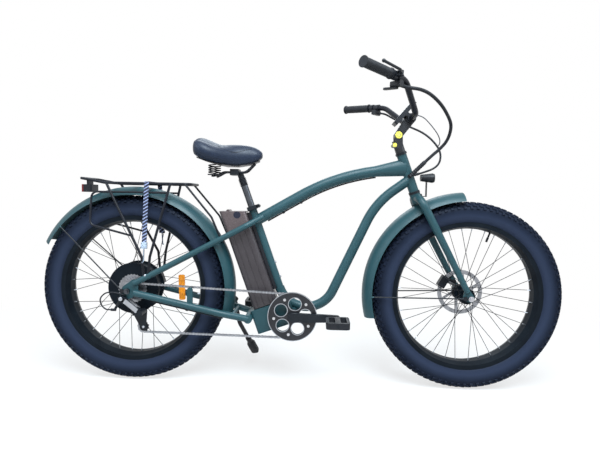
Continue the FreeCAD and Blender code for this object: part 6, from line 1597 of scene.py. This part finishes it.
@dataclass
class Frame:
    """Painted frame, fork and fenders with their fittings."""

    repeater: Repeater
    fender_reach: float = 0.361
    seat_foot: Triple = (-0.037854, 0.0, 0.273502)
    seat_up: Triple = (-0.342020, 0.0, 0.939693)
    seat_ahead: Triple = (0.939693, 0.0, 0.342020)
    boss_reaches: Pair = (0.1513, 0.2121)
    tube_radius: float = 0.0162
    rack_foot: Triple = (-0.582, 0.0960, 0.428)
    fork_face: float = 0.0752
    nut_radius: float = 0.02
    stand_knee: Triple = (-0.256, 0.122, 0.196)
    stand_foot: Triple = (-0.201, 0.246, 0.030)
    shoe_share: float = 0.66
    shoe_half: Pair = (0.0175, 0.0135)
    shoe_corners: int = 16
    shoe_power: float = 0.5
    shoe_levels: tuple[Pair, ...] = ((0.0, 0.80), (0.15, 1.0), (0.92, 1.0), (1.03, 0.86))

    def shoe(self) -> None:
        """Broad rubber shoe on the lower end of the kickstand."""
        knee, foot = Vector(self.stand_knee), Vector(self.stand_foot)
        start = knee.lerp(foot, self.shoe_share)
        length = (foot - start).length
        outline = [tuple(half * math.copysign(abs(part) ** self.shoe_power, part)
                         for half, part in zip(self.shoe_half, corner))
                   for corner in ring_of(self.shoe_corners)]
        mesh = stacked(outline, [(length * share, scale) for share, scale in self.shoe_levels])
        mesh = joined([mesh], [facing(start, foot - start)])
        add_piece("kickstand_shoe", mesh, RUBBER, "kickstand")

    def bolts(self) -> None:
        """Cap screws at the rack's feet and in the bosses of the seat tube."""
        x, y, z = self.rack_foot
        places = [facing(Vector((x, side * y, z)), Y_AXIS * side) for side in (LEFT, RIGHT)]
        foot, up, ahead = (Vector(it) for it in (self.seat_foot, self.seat_up, self.seat_ahead))
        for reach in self.boss_reaches:
            places.append(facing(foot + up * reach + ahead * self.tube_radius, ahead, Y_AXIS))
        self.repeater.stand("frame_cap_screws", CAP_SCREW.mesh(), places, SILVER_ALLOY, "frame")

    def build(self) -> None:
        """Dress the frame, fork, fenders and fittings, and add the screws and the shoe."""
        dress(PAINT, "head_tube", "top_tube", "down_tube", "seat_tube", "seat_stays",
              "chain_stays")
        nuts = Region(tuple(centre_of("front_rim")), low=self.fork_face, radius=self.nut_radius,
                      both_sides=True)
        bright = Zone(nuts, (0.55, 0.56, 0.60), 0.22, 1.0)
        dress(replace(PAINT, name="fork_paint", zones=(bright,)), "fork")
        for end in ("front", "rear"):
            inside = Region(tuple(centre_of(end + "_rim")), radius=self.fender_reach)
            wires = Zone(inside, (0.006, 0.007, 0.010), 0.34)
            dress(replace(PAINT, name=end + "_fender_paint", zones=(wires,)), end + "_fender")
        dress(BLACK_ALLOY, "frame_bearings", "rear_caliper")
        dress(DARK_STEEL, "rear_axle")
        dress(BLACK_PAINT, "kickstand_leg")
        dress(AMBER, "spoke_reflector")
        self.bolts()
        self.shoe()


@dataclass(frozen=True)
class Lamp:
    """Soft round lamp."""

    place: Triple
    size: float
    power: float


@dataclass
class Studio:
    """Pale floor, soft lamps, white surround and the camera at the photograph's angle."""

    eye: Triple = (0.0572, -1.7556, 0.7319)
    yaw: float = 0.0321
    pitch: float = -0.0593
    roll: float = -0.0189
    focal_pixels: float = 445.0
    image_width: float = 600.0
    sensor: float = 36.0
    nearest: float = 0.01
    floor_size: float = 14.0
    floor_colour: Colour = (0.86, 0.86, 0.86)
    floor_stretch: Triple = (0.7, 1.0, 1.0)
    glow_reach: Pair = (0.55, 1.7)
    glow_share: Pair = (0.72, 1.0)
    soft_colour: Colour = (0.86, 0.93, 1.0)
    soft_light: float = 0.15
    lamps: tuple[Lamp, ...] = (
        Lamp((0.2, -1.8, 3.3), 2.4, 250.0), Lamp((-2.8, -1.6, 2.4), 2.0, 42.0),
        Lamp((2.9, -1.0, 2.6), 2.0, 42.0), Lamp((0.0, 2.6, 2.8), 2.4, 40.0))
    lamp_colour: Colour = (0.80, 0.92, 1.0)
    lamp_target: Triple = (0.0, 0.0, 0.5)

    def camera(self) -> None:
        """Stand the camera where the photograph was taken from."""
        data = bpy.data.cameras.new("camera")
        data.sensor_width = self.sensor
        data.lens = self.focal_pixels / self.image_width * self.sensor
        data.clip_start = self.nearest
        turn = (Matrix.Rotation(self.yaw, 3, "Z") @ Matrix.Rotation(self.pitch, 3, "X")
                @ Matrix.Rotation(self.roll, 3, "Y"))
        right, ahead, up = turn.col
        camera = linked("camera", data)
        facing_out = Matrix((right, up, -ahead)).transposed().to_4x4()
        camera.matrix_world = Matrix.Translation(self.eye) @ facing_out
        bpy.context.scene.camera = camera

    def floor(self) -> None:
        """Pale floor that fades to white and keeps the shadow."""
        corners = [(x, y, 0) for x, y in oblong(self.floor_size, self.floor_size)]
        mesh = faced(corners, [(0, 1, 2, 3)])
        shader = Shader("pale_floor")
        mesh.materials.append(shader.face({
            "Base Color": (*self.floor_colour, 1), "Roughness": 0.9, "Specular IOR Level": 0.0}))
        glow = shader.node("ShaderNodeEmission", {"Strength": 1.0})
        path = shader.node("ShaderNodeLightPath").outputs
        flat = shader.vector("MULTIPLY", "Vector", shader.place, self.floor_stretch)
        away = shader.vector("LENGTH", "Value", flat)
        share = shader.span(away, *self.glow_reach, *self.glow_share)
        seen = shader.math("MAXIMUM", path["Is Camera Ray"], path["Is Glossy Ray"])
        mix = shader.node("ShaderNodeMixShader", {
            0: shader.math("MULTIPLY", share, seen), 1: shader.surface.outputs[0],
            2: glow.outputs[0]})
        shader.fill(shader.tree.nodes["Material Output"], {0: mix.outputs[0]})
        floor = linked("floor", mesh)

    def surround(self) -> None:
        """White surround for the camera and reflections, with a plain soft light elsewhere."""
        world = bpy.data.worlds.new("surround")
        bpy.context.scene.world = world
        world.use_nodes = True
        sky = Nodes(world.node_tree)
        soft = sky.tree.nodes["Background"]
        sky.fill(soft, {"Color": (*self.soft_colour, 1), "Strength": self.soft_light})
        white = sky.node("ShaderNodeBackground", {"Color": (1, 1, 1, 1)})
        path = sky.node("ShaderNodeLightPath").outputs
        seen = path["Is Camera Ray"]
        for ray in ("Is Glossy Ray", "Is Transmission Ray"):
            either = sky.node("ShaderNodeMath", {0: seen, 1: path[ray]}, operation="ADD",
                              use_clamp=True)
            seen = either.outputs[0]
        mix = sky.node("ShaderNodeMixShader", {
            0: seen, 1: soft.outputs[0], 2: white.outputs[0]})
        sky.fill(sky.tree.nodes["World Output"], {"Surface": mix.outputs[0]})

    def light(self) -> None:
        """Hang soft lamps round the bicycle."""
        for index, lamp in enumerate(self.lamps):
            data = bpy.data.lights.new(f"soft_lamp_{index}", "AREA")
            data.shape = "DISK"
            data.size = lamp.size
            data.energy = lamp.power
            data.color = self.lamp_colour
            hung = linked(data.name, data)
            hung.location = lamp.place
            aim = Vector(self.lamp_target) - Vector(lamp.place)
            hung.rotation_euler = aim.to_track_quat("-Z", "Y").to_euler()

    def build(self) -> None:
        """Set up the whole studio."""
        bpy.context.scene.view_settings.view_transform = "Standard"
        self.camera()
        self.floor()
        self.surround()
        self.light()


def main() -> None:
    """Build the sub-assemblies in order and report each piece."""
    logging.basicConfig(level=logging.INFO, format="%(message)s")
    repeater = Repeater()
    parts: list[Callable[[], None]] = [
        Studio().build,
        Cockpit(repeater).build,
        Frame(repeater).build,
        Wheel("front", "front_hub", repeater, hole_radius=0.027, crosses=3).build,
        Wheel("rear", "hub_motor", repeater, hole_radius=0.096, crosses=1).build,
        Drivetrain(repeater).build,
        Saddle().build,
        Luggage().build,
        Power().build,
    ]
    for build in parts:
        build()


if __name__ == "__main__":
    main()
